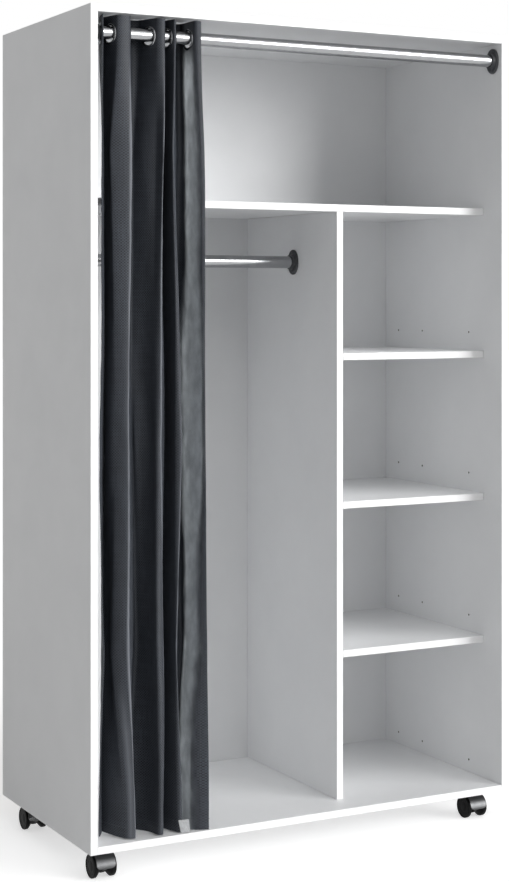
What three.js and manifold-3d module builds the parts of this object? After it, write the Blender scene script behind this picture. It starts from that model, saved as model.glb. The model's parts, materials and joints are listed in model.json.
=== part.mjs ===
// An open wardrobe on castors: a white melamine carcass with a hanging bay, a column of shelf
// bays and a top compartment, an eyelet curtain on a chrome rod across the front, a hanging
// rail, and a twin-wheel castor under each corner.
// Millimetres. X runs to the right, Y to the back and Z up. The origin is the middle of the
// footprint, on the floor.

import * as THREE from 'three';
import { mergeVertices } from 'three/addons/utils/BufferGeometryUtils.js';
import Module from 'manifold-3d';

const wasm = await Module();
wasm.setup();

// Driving dimensions of the carcass
const width = 1040;
const depth = 518;
const board = 16;
const bayCount = 4;
const bayClearHeight = 317;
const topClearHeight = 377;
const hangingBayClearWidth = 609;
const innerSetback = 71;

// Thin back board, held in a groove on all four sides
const backBoard = 3;
const backInset = 15;
const grooveDepth = 8;
const grooveEndGap = 0.5;

// Clearances
const seam = 0.3;
const runningGap = 0.4;
const overrun = 1;
const weld = 0.0005;

// Dowels in the corner joints
const dowelRadius = 4;
const dowelLength = 34;
const dowelInSide = 10;
const dowelFromEdge = 60;

// Pilot holes for drawer runners, above each bay's floor and back from the front edge
const runnerHoleRadius = 2.5;
const runnerHoleDepth = 11;
const runnerHeightLowest = 29;
const runnerHeightSecond = 39;
const runnerHeightUpper = 43;
const runnerFront = 132;
const runnerMiddle = 332;
const runnerRear = 440;

// Round tubes: the curtain rod and the hanging rail
const rodRadius = 14;
const rodWall = 1.2;
const rodFromFront = 33.5;
const rodBelowTop = 37.5;
const railFromFront = 268;
const railBelowShelf = 110;

// Oval flange that holds the end of a tube
const flangeWidth = 44;
const flangeHeight = 58;
const flangePlate = 5;
const flangeFloor = 1.5;
const socketWall = 3;
const socketLength = 7;
const flangeScrewRadius = 2.3;
const flangeScrewOffset = 23.5;

// Curtain cloth and its eyelets
const fabric = 1.2;
const curtainBelowTop = 3;
const hemAboveFloor = 1;
const eyeletBore = 17;
const eyeletBarrel = 18.2;
const eyeletRim = 22;
const eyeletLip = 1;
const eyeletLipEdge = 0.5;

// Plans of the gathered curtain: at the rod, halfway down and at the hem. Each eyelet has a
// straight panel that leans from square by the listed degrees, and a round fold joins it to the
// next one. Panel shares place the panels along the stack, depth shares place their middles
// between the front and the back of the folds, and reach shares size them.
const firstEyeletFromSide = 21;
const stackWidth = 200;
const panelHalf = 22.5;
const frontFoldReach = 8.5;
const backFoldReach = 14;
const foldRoundness = 0.9;
const leadingEdge = 6;
const flapSetBack = 4;
const plans = [
  {
    panelShares: [0, 0.1, 0.325, 0.542, 0.685, 0.75, 0.845, 1],
    leans: [-14, 16, -22, 20, -6, 12, -22, 5],
    depthShares: [0.5, 0.5, 0.5, 0.5, 0.5, 0.5, 0.5, 0.5],
    reachShares: [1, 1, 1, 1, 1, 1, 1, 1],
    flapShare: 0.07,
  },
  {
    panelShares: [0.008, 0.125, 0.306, 0.525, 0.638, 0.745, 0.837, 1],
    leans: [-25, 15, -24, 20, -20, 15, -20, 25],
    depthShares: [0.5, 0.5, 0.5, 0.5, 0.5, 0.5, 0.5, 0.5],
    reachShares: [1, 1, 1, 1, 1, 1, 1, 1],
    flapShare: 0.11,
  },
  {
    panelShares: [0.055, 0.2, 0.365, 0.58, 0.685, 0.785, 0.9, 1.03],
    leans: [-22, 29, -27, 18, -20, 14, -58, 42],
    depthShares: [0.8, 0.5, 0.5, 0.5, 0.5, 0.5, 0.3, 0.21],
    reachShares: [0.4, 1, 1, 1, 1, 1, 0.58, 0.4],
    flapShare: 0.14,
  },
];

// Rows of the curtain from top to hem as shares of the drop, and the plan of each row, where
// a number between two plans is a blend of them
const rowShares = [0, 0.05, 0.12, 0.3, 0.55, 0.8, 0.93, 1];
const rowPlans = [0, 0, 0.5, 1, 1, 1, 1.5, 2];
const hemLift = 7;

// Care label, sewn to one panel at the hem, beside its front fold
const labelWidth = 25;
const labelHeight = 27;
const labelThickness = 0.6;
const labelFromFold = 1.5;
const labelPanel = 6;

// Castors
const castorHeight = 60;
const castorFromLeft = 42;
const castorFromRight = 69;
const castorFromFrontOrBack = 64;
const castorTrail = 20;
const plateSize = 42;
const plateThickness = 2.5;
const plateCorner = 5;
const plateScrewRadius = 2.3;
const plateScrewOffset = 14.5;
const wheelRadius = 25;
const wheelInnerFace = 7.5;
const wheelInnerRadius = 15;
const wheelOuterFace = 25.2;
const treadWidth = 9;
const treadEdge = 1.2;
const hubRadius = 8.5;
const capRecess = 1.1;
const capRim = 4;
const axleRadius = 3;
const axleEndCover = 3;
const hoodRadius = 28.5;
const hoodShell = 2.2;
const hoodWidth = 42;
const hoodFrontAngle = -3;
const hoodRearAngle = 128;
const hoodWeb = 8;
const hoodWebRadius = 16;
const hoodWebAngles = [-110, -85, -60, -35];
const hoodHubWidth = 14;
const bossRadius = 8.5;
const bossBelowAxle = 6;
const kingpinRadius = 4;
const kingpinDepth = 22;
const kingpinCollarRadius = 8;
const kingpinCollar = 2;

// Facets
const tubeSides = 24;
const wheelSides = 24;
const eyeletSides = 16;
const smallSides = 12;
const holeSides = 8;
const foldSteps = 6;
const hoodSteps = 14;

// Levels and planes that follow from the sizes above
const left = -width / 2;
const right = width / 2;
const front = -depth / 2;
const rear = depth / 2;
const innerLeft = left + board;
const innerRight = right - board;
const pitch = bayClearHeight + board;
const carcassFoot = castorHeight;
const carcassHeight = board + bayCount * pitch + topClearHeight + board;
const carcassTop = carcassFoot + carcassHeight;
const floorLevel = carcassFoot + board;
const ceilingLevel = carcassTop - board;
const topShelfLevel = floorLevel + bayCount * pitch;
const topShelfUnderside = topShelfLevel - board;
const backFront = rear - backInset - backBoard;
const innerRear = backFront - seam;
const innerFront = front + innerSetback;
const dividerLeft = innerLeft + hangingBayClearWidth;
const dividerRight = dividerLeft + board;
const rodY = front + rodFromFront;
const rodZ = ceilingLevel - rodBelowTop;
const railY = front + railFromFront;
const railZ = topShelfUnderside - railBelowShelf;

const finishes = {
  melamine: { color: 0xf2f3f3, roughness: 0.45, metalness: 0 },
  backboard: { color: 0xe9eaeb, roughness: 0.6, metalness: 0 },
  chrome: { color: 0xdfe2e4, roughness: 0.12, metalness: 1 },
  anthracite: { color: 0x46484a, roughness: 0.5, metalness: 0 },
  cloth: { color: 0x3f434a, roughness: 0.85, metalness: 0 },
  eyelet: { color: 0xc9ccd0, roughness: 0.2, metalness: 1 },
  label: { color: 0xe4e4e2, roughness: 0.8, metalness: 0 },
  tyre: { color: 0x18191b, roughness: 0.5, metalness: 0 },
  hood: { color: 0x9a9c9e, roughness: 0.35, metalness: 0 },
  steel: { color: 0xb4b7ba, roughness: 0.35, metalness: 1 },
  beech: { color: 0xc9a777, roughness: 0.8, metalness: 0 },
};

// Axes that turn a profile: drawn in Y and Z and extruded along X, or turned from Y to X or Z
const profileToX = new THREE.Matrix4().makeBasis(
  new THREE.Vector3(0, 1, 0),
  new THREE.Vector3(0, 0, 1),
  new THREE.Vector3(1, 0, 0),
);

/** Turns a closed geometry into a solid for cutting and joining. */
function solidOf(geometry) {
  const bare = geometry.index ? geometry.toNonIndexed() : geometry.clone();
  bare.deleteAttribute('normal');
  bare.deleteAttribute('uv');
  const merged = mergeVertices(bare, weld);
  return new wasm.Manifold(new wasm.Mesh({
    numProp: 3,
    vertProperties: merged.attributes.position.array,
    triVerts: new Uint32Array(merged.index.array),
  }));
}

/** Turns a solid back into a geometry. */
function geometryOf(solid) {
  const mesh = solid.getMesh();
  const geometry = new THREE.BufferGeometry();
  geometry.setAttribute('position', new THREE.BufferAttribute(new Float32Array(mesh.vertProperties), 3));
  geometry.setIndex(new THREE.BufferAttribute(new Uint32Array(mesh.triVerts), 1));
  geometry.computeVertexNormals();
  return geometry;
}

/** Cuts each tool out of a geometry. */
function cut(geometry, tools) {
  return geometryOf(tools.reduce((solid, tool) => solid.subtract(solidOf(tool)), solidOf(geometry)));
}

/** Joins geometries into one. */
function join(geometries) {
  const [first, ...others] = geometries.map(solidOf);
  return geometryOf(others.reduce((solid, other) => solid.add(other), first));
}

/** A box between two values on each axis. */
function block([x0, x1], [y0, y1], [z0, z1]) {
  const geometry = new THREE.BoxGeometry(x1 - x0, y1 - y0, z1 - z0);
  return geometry.translate((x0 + x1) / 2, (y0 + y1) / 2, (z0 + z1) / 2);
}

/** A solid of revolution about X. Each profile point is a radius and a place along X. */
function turnedAboutX(profile, sides) {
  const points = profile.map(([radius, along]) => new THREE.Vector2(radius, along));
  return new THREE.LatheGeometry(points, sides, Math.PI / sides).rotateZ(-Math.PI / 2);
}

/** A solid of revolution about Z. Each profile point is a radius and a height. */
function turnedAboutZ(profile, sides) {
  const points = profile.map(([radius, along]) => new THREE.Vector2(radius, along));
  return new THREE.LatheGeometry(points, sides, Math.PI / sides).rotateX(Math.PI / 2);
}

/** The profile of a plain round bar. */
function barProfile(radius, from, to) {
  return [[0, from], [radius, from], [radius, to], [0, to]];
}

/** The profile of a round bore that clears a bar of the given radius all round. */
function boreProfile(radius, clearance, sides, from, to) {
  return barProfile((radius + clearance) / Math.cos(Math.PI / sides), from, to);
}

/** Adds a named piece to a group. */
function add(parent, name, geometry, finish, position = [0, 0, 0]) {
  const mesh = new THREE.Mesh(geometry, new THREE.MeshStandardMaterial(finishes[finish]));
  mesh.name = name;
  mesh.position.set(...position);
  parent.add(mesh);
  return mesh;
}

const wardrobe = new THREE.Group();

// Dowels: two at each end of the top and bottom panels
const dowelRows = [front + dowelFromEdge, backFront - dowelFromEdge];
const dowelLevels = [carcassFoot + board / 2, carcassTop - board / 2];
const dowelOuterEnd = board - dowelInSide;

/** The hole for one dowel on the left, from the panel's end or the side's inner face. */
function dowelHole(y, z) {
  const from = left + dowelOuterEnd - seam;
  const to = left + dowelOuterEnd + dowelLength + seam;
  return turnedAboutX(boreProfile(dowelRadius, seam, smallSides, from, to), smallSides).translate(0, y, z);
}

/** Mirrors a list of tools from the left side to the right side. */
function mirrored(tools) {
  return tools.map((tool) => tool.clone().rotateZ(Math.PI));
}

const dowelHolesLeft = dowelLevels.flatMap((z) => dowelRows.map((y) => dowelHole(y, z)));
// Turning by half a turn about Z swaps front and back, so the rows are swapped first
const dowelHolesRight = mirrored(dowelLevels.flatMap((z) => dowelRows.map((y) => dowelHole(-y, z))));

/** The groove that takes the back board, as a block a little wider than the board. */
function grooveBlock() {
  return block(
    [innerLeft - grooveDepth, innerRight + grooveDepth],
    [backFront - seam, backFront + backBoard + seam],
    [floorLevel - grooveDepth, ceilingLevel + grooveDepth],
  );
}

/** Pilot holes for drawer runners in a face that looks along X, one row to a bay. */
function runnerHoles(from, to) {
  const heights = [runnerHeightLowest, runnerHeightSecond, runnerHeightUpper, runnerHeightUpper];
  const rows = [runnerFront, runnerMiddle, runnerRear];
  const holes = [];
  for (let bay = 0; bay < bayCount; bay += 1) {
    const above = heights[Math.min(bay, heights.length - 1)];
    for (const row of rows) {
      const hole = turnedAboutX(barProfile(runnerHoleRadius, from, to), holeSides);
      holes.push(hole.translate(0, front + row, floorLevel + bay * pitch + above));
    }
  }
  return holes;
}

/** The two full-height side panels. */
function addSides(parent) {
  const tall = [carcassFoot, carcassTop];
  const deep = [front, rear];
  const leftPanel = cut(block([left, innerLeft], deep, tall), [grooveBlock(), ...dowelHolesLeft]);
  const pilots = runnerHoles(innerRight - overrun, innerRight + runnerHoleDepth);
  const rightPanel = cut(
    block([innerRight, right], deep, tall),
    [grooveBlock(), ...dowelHolesRight, ...pilots],
  );
  add(parent, 'side_panel_left', leftPanel, 'melamine');
  add(parent, 'side_panel_right', rightPanel, 'melamine');
}

/** The top and bottom panels, which fit between the sides. */
function addTopAndBottom(parent) {
  const across = [innerLeft + seam, innerRight - seam];
  const tools = [grooveBlock(), ...dowelHolesLeft, ...dowelHolesRight];
  const bottom = cut(block(across, [front, rear], [carcassFoot, floorLevel]), tools);
  const top = cut(block(across, [front, rear], [ceilingLevel, carcassTop]), tools);
  add(parent, 'bottom_panel', bottom, 'melamine');
  add(parent, 'top_panel', top, 'melamine');
}

/** The full-width shelf, the divider under it and the shelves beside the divider. */
function addInnerBoards(parent) {
  const deep = [innerFront, innerRear];
  const shelfAcross = [innerLeft + seam, innerRight - seam];
  add(parent, 'top_shelf', block(shelfAcross, deep, [topShelfUnderside, topShelfLevel]), 'melamine');
  const divider = cut(
    block([dividerLeft, dividerRight], deep, [floorLevel + seam, topShelfUnderside - seam]),
    runnerHoles(dividerRight - runnerHoleDepth, dividerRight + overrun),
  );
  add(parent, 'divider_panel', divider, 'melamine');
  const bayAcross = [dividerRight + seam, innerRight - seam];
  for (let bay = 1; bay < bayCount; bay += 1) {
    const level = floorLevel + bay * pitch;
    add(parent, `shelf_${bay}`, block(bayAcross, deep, [level - board, level]), 'melamine');
  }
}

/** The thin back board, whose edges lie in the groove. */
function addBack(parent) {
  const reach = grooveDepth - grooveEndGap;
  const back = block(
    [innerLeft - reach, innerRight + reach],
    [backFront, backFront + backBoard],
    [floorLevel - reach, ceilingLevel + reach],
  );
  add(parent, 'back_panel', back, 'backboard');
}

/** The dowels of the corner joints. */
function addDowels(parent) {
  const dowel = turnedAboutX(barProfile(dowelRadius, -dowelLength / 2, dowelLength / 2), smallSides);
  const ends = { left: left + dowelOuterEnd + dowelLength / 2, right: right - dowelOuterEnd - dowelLength / 2 };
  const levels = { bottom: dowelLevels[0], top: dowelLevels[1] };
  const rows = { front: dowelRows[0], rear: dowelRows[1] };
  for (const [end, x] of Object.entries(ends)) {
    for (const [levelName, z] of Object.entries(levels)) {
      for (const [row, y] of Object.entries(rows)) {
        add(parent, `dowel_${levelName}_${end}_${row}`, dowel, 'beech', [x, y, z]);
      }
    }
  }
}

/** A round tube along X between two faces, held in a flange at each end. */
function addTube(parent, name, y, z, fromFace, toFace) {
  const from = fromFace + flangeFloor + seam;
  const to = toFace - flangeFloor - seam;
  const bore = rodRadius - rodWall;
  const tube = turnedAboutX([[bore, from], [rodRadius, from], [rodRadius, to], [bore, to], [bore, from]], tubeSides);
  add(parent, name, tube, 'chrome', [0, y, z]);
}

/** The oval flange: a plate with a socket for the tube, which opens along +X, and two screw holes. */
function flangeGeometry() {
  const oval = new THREE.Shape();
  oval.absellipse(0, 0, flangeWidth / 2, flangeHeight / 2, 0, 2 * Math.PI, false, 0);
  for (const side of [-1, 1]) {
    const screw = new THREE.Path();
    screw.absarc(0, side * flangeScrewOffset, flangeScrewRadius, 0, 2 * Math.PI, true);
    oval.holes.push(screw);
  }
  const plate = new THREE.ExtrudeGeometry(oval, {
    depth: flangePlate, bevelEnabled: false, curveSegments: tubeSides / 2,
  }).applyMatrix4(profileToX);
  const socketBore = rodRadius + runningGap;
  const mouth = flangePlate + socketLength;
  const socket = turnedAboutX(barProfile(socketBore + socketWall, 0, mouth), tubeSides);
  const bore = turnedAboutX(
    boreProfile(rodRadius, runningGap, tubeSides, flangeFloor, mouth + overrun),
    tubeSides,
  );
  return cut(join([plate, socket]), [bore]);
}

/** A pair of flanges that hold one tube between two faces. */
function addFlanges(parent, name, y, z, fromFace, toFace) {
  const flange = flangeGeometry();
  add(parent, `${name}_flange_left`, flange, 'anthracite', [fromFace + seam / 2, y, z]);
  const facing = add(parent, `${name}_flange_right`, flange, 'anthracite', [toFace - seam / 2, y, z]);
  facing.rotation.z = Math.PI;
}

/** One straight panel of a plan: its ends and the way from its front end to its back end. */
function panelOf(plan, i) {
  const angle = THREE.MathUtils.degToRad(plan.leans[i]);
  const toBack = new THREE.Vector2(-Math.sin(angle), Math.cos(angle));
  const centre = new THREE.Vector2(
    innerLeft + firstEyeletFromSide + plan.panelShares[i] * stackWidth,
    front + plan.depthShares[i] * 2 * rodFromFront,
  );
  const half = plan.reachShares[i] * panelHalf;
  return {
    frontEnd: centre.clone().addScaledVector(toBack, -half),
    backEnd: centre.clone().addScaledVector(toBack, half),
    toBack,
    toFront: toBack.clone().negate(),
    reachShare: plan.reachShares[i],
  };
}

/**
 * A round fold between two ends, each with its heading and its reach. A narrow fold reaches
 * less far, so that it stays round.
 */
function fold(from, heading, reach, to, nextHeading, nextReach) {
  const most = foldRoundness * from.distanceTo(to);
  return new THREE.CubicBezierCurve(
    from,
    from.clone().addScaledVector(heading, Math.min(reach, most)),
    to.clone().addScaledVector(nextHeading, Math.min(nextReach, most)),
    to,
  );
}

/** Points of one plan of the curtain from its left edge to its right edge. */
function curtainPlan(plan) {
  const panels = plan.leans.map((_, i) => panelOf(plan, i));
  const [first] = panels;
  const points = [first.frontEnd.clone().addScaledVector(first.toFront, first.reachShare * leadingEdge)];
  panels.forEach((panel, i) => {
    const ends = [panel.frontEnd, panel.backEnd];
    const backwards = i % 2 === 0;
    points.push(...(backwards ? ends : ends.reverse()));
    const from = backwards ? panel.backEnd : panel.frontEnd;
    const heading = backwards ? panel.toBack : panel.toFront;
    const reach = backwards ? backFoldReach : frontFoldReach;
    const next = panels[i + 1];
    if (next) {
      const to = backwards ? next.backEnd : next.frontEnd;
      const nextHeading = backwards ? next.toBack : next.toFront;
      const curve = fold(from, heading, panel.reachShare * reach, to, nextHeading, next.reachShare * reach);
      points.push(...curve.getPoints(foldSteps).slice(1, -1));
    } else {
      const tip = new THREE.Vector2(from.x + plan.flapShare * stackWidth, front + flapSetBack);
      const curve = fold(from, heading, panel.reachShare * reach, tip, new THREE.Vector2(-1, 0), reach / 2);
      points.push(...curve.getPoints(foldSteps).slice(1));
    }
  });
  return points;
}

/** Unit normals of a plan polyline, to its left. */
function planNormals(points) {
  return points.map((point, i) => {
    const before = points[Math.max(i - 1, 0)];
    const after = points[Math.min(i + 1, points.length - 1)];
    const along = after.clone().sub(before).normalize();
    return new THREE.Vector2(-along.y, along.x);
  });
}

const curtainTop = ceilingLevel - curtainBelowTop;
const curtainHem = floorLevel + hemAboveFloor;
const planPoints = plans.map(curtainPlan);

/** The plan of one row, blended from the two plans beside it. */
function rowPlan(row) {
  const lower = Math.min(Math.floor(rowPlans[row]), plans.length - 2);
  const blend = rowPlans[row] - lower;
  return planPoints[lower].map((point, i) => point.clone().lerp(planPoints[lower + 1][i], blend));
}

/** How far a point of the hem hangs above the lowest one. The back folds swing up a little. */
function liftAt(point, row) {
  const depthShare = (point.y - front) / (2 * rodFromFront);
  return row === rowShares.length - 1 ? hemLift * depthShare * depthShare : 0;
}

/**
 * The curtain: one sheet lofted through the rows, closed at its edges. Both faces of a panel
 * share their diagonals, so that a twisted panel keeps its thickness.
 */
function curtainSheet() {
  const columns = planPoints[0].length;
  const rows = rowShares.length;
  const positions = [];
  for (const side of [1, -1]) {
    rowShares.forEach((drop, row) => {
      const plan = rowPlan(row);
      const normals = planNormals(plan);
      const z = curtainTop + drop * (curtainHem - curtainTop);
      plan.forEach((point, i) => {
        const shifted = point.clone().addScaledVector(normals[i], side * fabric / 2);
        positions.push(shifted.x, shifted.y, z + liftAt(point, row));
      });
    });
  }
  const at = (side, row, column) => (side * rows + row) * columns + column;
  const indices = [];
  const quad = (a, b, c, d) => indices.push(a, b, c, a, c, d);
  for (let row = 0; row + 1 < rows; row += 1) {
    for (let column = 0; column + 1 < columns; column += 1) {
      quad(at(0, row, column), at(0, row, column + 1), at(0, row + 1, column + 1), at(0, row + 1, column));
      quad(at(1, row, column), at(1, row + 1, column), at(1, row + 1, column + 1), at(1, row, column + 1));
    }
    quad(at(0, row, 0), at(0, row + 1, 0), at(1, row + 1, 0), at(1, row, 0));
    quad(at(0, row + 1, columns - 1), at(0, row, columns - 1), at(1, row, columns - 1), at(1, row + 1, columns - 1));
  }
  for (let column = 0; column + 1 < columns; column += 1) {
    quad(at(0, 0, column + 1), at(0, 0, column), at(1, 0, column), at(1, 0, column + 1));
    const last = rows - 1;
    quad(at(0, last, column), at(0, last, column + 1), at(1, last, column + 1), at(1, last, column));
  }
  const geometry = new THREE.BufferGeometry();
  geometry.setAttribute('position', new THREE.BufferAttribute(new Float32Array(positions), 3));
  geometry.setIndex(indices);
  return geometry;
}

const grooveHalf = fabric / 2 + seam;
const eyeletHalf = grooveHalf + eyeletLip;
const eyeletHang = eyeletBore * Math.cos(Math.PI / eyeletSides) - rodRadius - seam;

/** The place and turn of each eyelet on the rod. */
function eyeletPlaces() {
  const [atRod] = plans;
  return atRod.panelShares.map((share, i) => ({
    x: innerLeft + firstEyeletFromSide + share * stackWidth,
    turn: THREE.MathUtils.degToRad(atRod.leans[i]),
  }));
}

/** A metal eyelet: a barrel with a rim on each side of the cloth. */
function eyeletGeometry() {
  const profile = [
    [eyeletBore, -eyeletHalf],
    [eyeletRim - eyeletLipEdge, -eyeletHalf],
    [eyeletRim, -grooveHalf],
    [eyeletBarrel, -grooveHalf],
    [eyeletBarrel, grooveHalf],
    [eyeletRim, grooveHalf],
    [eyeletRim - eyeletLipEdge, eyeletHalf],
    [eyeletBore, eyeletHalf],
    [eyeletBore, -eyeletHalf],
  ];
  return turnedAboutX(profile, eyeletSides);
}

/** The curtain, its eyelets and its care label. */
function addCurtain(parent) {
  const reach = grooveHalf + overrun;
  const places = eyeletPlaces();
  const holes = places.map(({ x, turn }) => (
    turnedAboutX(boreProfile(eyeletBarrel, seam, eyeletSides, -reach, reach), eyeletSides)
      .rotateZ(turn)
      .translate(x, rodY, rodZ - eyeletHang)
  ));
  add(parent, 'curtain', cut(curtainSheet(), holes), 'cloth');
  const eyelet = eyeletGeometry();
  places.forEach(({ x, turn }, i) => {
    const ring = add(parent, `eyelet_${i + 1}`, eyelet, 'eyelet', [x, rodY, rodZ - eyeletHang]);
    ring.rotation.z = turn;
  });
  const { frontEnd, toBack } = panelOf(plans[plans.length - 1], labelPanel);
  const middle = frontEnd.clone().addScaledVector(toBack, labelFromFold + labelWidth / 2);
  middle.addScaledVector(new THREE.Vector2(toBack.y, -toBack.x), fabric / 2 + seam + labelThickness / 2);
  const label = new THREE.BoxGeometry(labelWidth, labelThickness, labelHeight);
  const labelZ = curtainHem + labelHeight / 2;
  const mesh = add(parent, 'care_label', label, 'label', [middle.x, middle.y, labelZ]);
  mesh.rotation.z = Math.atan2(toBack.y, toBack.x);
}

// Castor levels, measured up from the floor
const plateTop = carcassFoot - seam;
const plateUnder = plateTop - plateThickness;
const collarTop = plateUnder - seam;
const collarUnder = collarTop - kingpinCollar;
const bossTop = collarUnder - runningGap;
const bossFoot = wheelRadius - bossBelowAxle;
const kingpinFoot = bossTop - kingpinDepth;

/** The square mounting plate with its screw holes and the hole for the kingpin. */
function plateGeometry() {
  const half = plateSize / 2;
  const inner = half - plateCorner;
  const outline = new THREE.Shape();
  outline.absarc(inner, inner, plateCorner, 0, Math.PI / 2, false);
  outline.absarc(-inner, inner, plateCorner, Math.PI / 2, Math.PI, false);
  outline.absarc(-inner, -inner, plateCorner, Math.PI, 1.5 * Math.PI, false);
  outline.absarc(inner, -inner, plateCorner, 1.5 * Math.PI, 2 * Math.PI, false);
  outline.closePath();
  const places = [[0, 0, (kingpinRadius + seam) / Math.cos(Math.PI / smallSides)]];
  for (const x of [-plateScrewOffset, plateScrewOffset]) {
    for (const y of [-plateScrewOffset, plateScrewOffset]) {
      places.push([x, y, plateScrewRadius]);
    }
  }
  for (const [x, y, radius] of places) {
    const hole = new THREE.Path();
    hole.absarc(x, y, radius, 0, 2 * Math.PI, true);
    outline.holes.push(hole);
  }
  return new THREE.ExtrudeGeometry(outline, {
    depth: plateThickness, bevelEnabled: false, curveSegments: smallSides / 3,
  });
}

/** The kingpin: a pin through the plate with a thrust collar under it. */
function kingpinGeometry() {
  return turnedAboutZ([
    [0, kingpinFoot],
    [kingpinRadius, kingpinFoot],
    [kingpinRadius, collarUnder],
    [kingpinCollarRadius, collarUnder],
    [kingpinCollarRadius, collarTop],
    [kingpinRadius, collarTop],
    [kingpinRadius, plateTop],
    [0, plateTop],
  ], smallSides);
}

/** A point on a circle about the axle. The angle rises from the front, over the top. */
function roundAxle(radius, degrees) {
  const angle = THREE.MathUtils.degToRad(degrees);
  return [-radius * Math.cos(angle), radius * Math.sin(angle)];
}

/** Extrudes an outline of Y and Z points by a width that is centred on X. */
function acrossX(points, thickness) {
  const shape = new THREE.Shape(points.map(([y, z]) => new THREE.Vector2(y, z)));
  return new THREE.ExtrudeGeometry(shape, { depth: thickness, bevelEnabled: false })
    .applyMatrix4(profileToX)
    .translate(-thickness / 2, 0, 0);
}

/** The moulded castor body about its axle: hood over both wheels, web, hub and kingpin boss. */
function hoodGeometry() {
  const step = (hoodRearAngle - hoodFrontAngle) / hoodSteps;
  const angles = Array.from({ length: hoodSteps + 1 }, (_, i) => hoodFrontAngle + i * step);
  const outer = angles.map((angle) => roundAxle(hoodRadius, angle));
  const inner = angles.map((angle) => roundAxle(hoodRadius - hoodShell, angle)).reverse();
  const hood = acrossX([...outer, ...inner], hoodWidth);
  const web = acrossX([
    roundAxle(hoodRadius - hoodShell / 2, hoodFrontAngle),
    ...angles.slice(1).map((angle) => roundAxle(hoodRadius - hoodShell / 2, angle)),
    [castorTrail, bossFoot - wheelRadius],
    ...hoodWebAngles.map((angle) => roundAxle(hoodWebRadius, angle)),
  ], hoodWeb);
  const hub = turnedAboutX(barProfile(hubRadius, -hoodHubWidth / 2, hoodHubWidth / 2), smallSides);
  const boss = turnedAboutZ(barProfile(bossRadius, bossFoot - wheelRadius, bossTop - wheelRadius), smallSides)
    .translate(0, castorTrail, 0);
  const axleBore = turnedAboutX(boreProfile(axleRadius, seam, smallSides, -hoodWidth, hoodWidth), smallSides);
  const pinBore = turnedAboutZ(
    boreProfile(kingpinRadius, seam, smallSides, kingpinFoot - runningGap - wheelRadius, bossTop + overrun),
    smallSides,
  ).translate(0, castorTrail, 0);
  return cut(join([web, hood, hub, boss]), [axleBore, pinBore]);
}

/** One wheel, with its inner hub face towards the castor's middle and a blind bore for the axle. */
function wheelGeometry() {
  const tread = wheelRadius / Math.cos(Math.PI / wheelSides);
  const bore = (axleRadius + seam) / Math.cos(Math.PI / wheelSides);
  const boreEnd = wheelOuterFace - axleEndCover;
  const treadInner = wheelOuterFace - treadWidth;
  return turnedAboutX([
    [0, boreEnd],
    [bore, boreEnd],
    [bore, wheelInnerFace],
    [wheelInnerRadius, wheelInnerFace],
    [tread - treadEdge, treadInner],
    [tread, treadInner + treadEdge],
    [tread, wheelOuterFace - treadEdge],
    [tread - treadEdge, wheelOuterFace],
    [tread - capRim, wheelOuterFace],
    [tread - capRim - capRecess, wheelOuterFace - capRecess],
    [0, wheelOuterFace - capRecess],
  ], wheelSides);
}

/** The axle between the blind ends of the two wheels. */
function axleGeometry() {
  const half = wheelOuterFace - axleEndCover - runningGap;
  return turnedAboutX(barProfile(axleRadius, -half, half), smallSides);
}

/** The four castors. Each trails towards the front of the wardrobe. */
function addCastors(parent) {
  const columns = { left: left + castorFromLeft, right: right - castorFromRight };
  const rows = { front: front + castorFromFrontOrBack, rear: rear - castorFromFrontOrBack };
  const shapes = {
    plate: plateGeometry(),
    kingpin: kingpinGeometry(),
    hood: hoodGeometry(),
    axle: axleGeometry(),
    wheel: wheelGeometry(),
  };
  for (const [row, y] of Object.entries(rows)) {
    for (const [column, x] of Object.entries(columns)) {
      const castor = new THREE.Group();
      castor.position.set(x, y, 0);
      parent.add(castor);
      const name = `castor_${row}_${column}`;
      const axle = [0, -castorTrail, wheelRadius];
      add(castor, `${name}_plate`, shapes.plate, 'steel', [0, 0, plateUnder]);
      add(castor, `${name}_kingpin`, shapes.kingpin, 'steel');
      add(castor, `${name}_hood`, shapes.hood, 'hood', axle);
      add(castor, `${name}_axle`, shapes.axle, 'steel', axle);
      add(castor, `${name}_wheel_right`, shapes.wheel, 'tyre', axle);
      const leftWheel = add(castor, `${name}_wheel_left`, shapes.wheel, 'tyre', axle);
      leftWheel.rotation.z = Math.PI;
    }
  }
}

addSides(wardrobe);
addTopAndBottom(wardrobe);
addInnerBoards(wardrobe);
addBack(wardrobe);
addDowels(wardrobe);
addTube(wardrobe, 'curtain_rod', rodY, rodZ, innerLeft, innerRight);
addFlanges(wardrobe, 'curtain_rod', rodY, rodZ, innerLeft, innerRight);
addTube(wardrobe, 'hanging_rail', railY, railZ, innerLeft, dividerLeft);
addFlanges(wardrobe, 'hanging_rail', railY, railZ, innerLeft, dividerLeft);
addCurtain(wardrobe);
addCastors(wardrobe);

export default wardrobe;
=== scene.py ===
"""A white wardrobe on castors, with open bays, a hanging rail and an eyelet curtain.

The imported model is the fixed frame. Each class makes one sub-assembly over it, in metres and
in the frame's own axes: X to the right, Y to the back and Z up.
"""
from __future__ import annotations

import json
import logging
import math
from dataclasses import dataclass
from enum import Enum
from typing import Sequence

import bmesh
import bpy
import numpy as np
from mathutils import Matrix, Vector, noise

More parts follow.
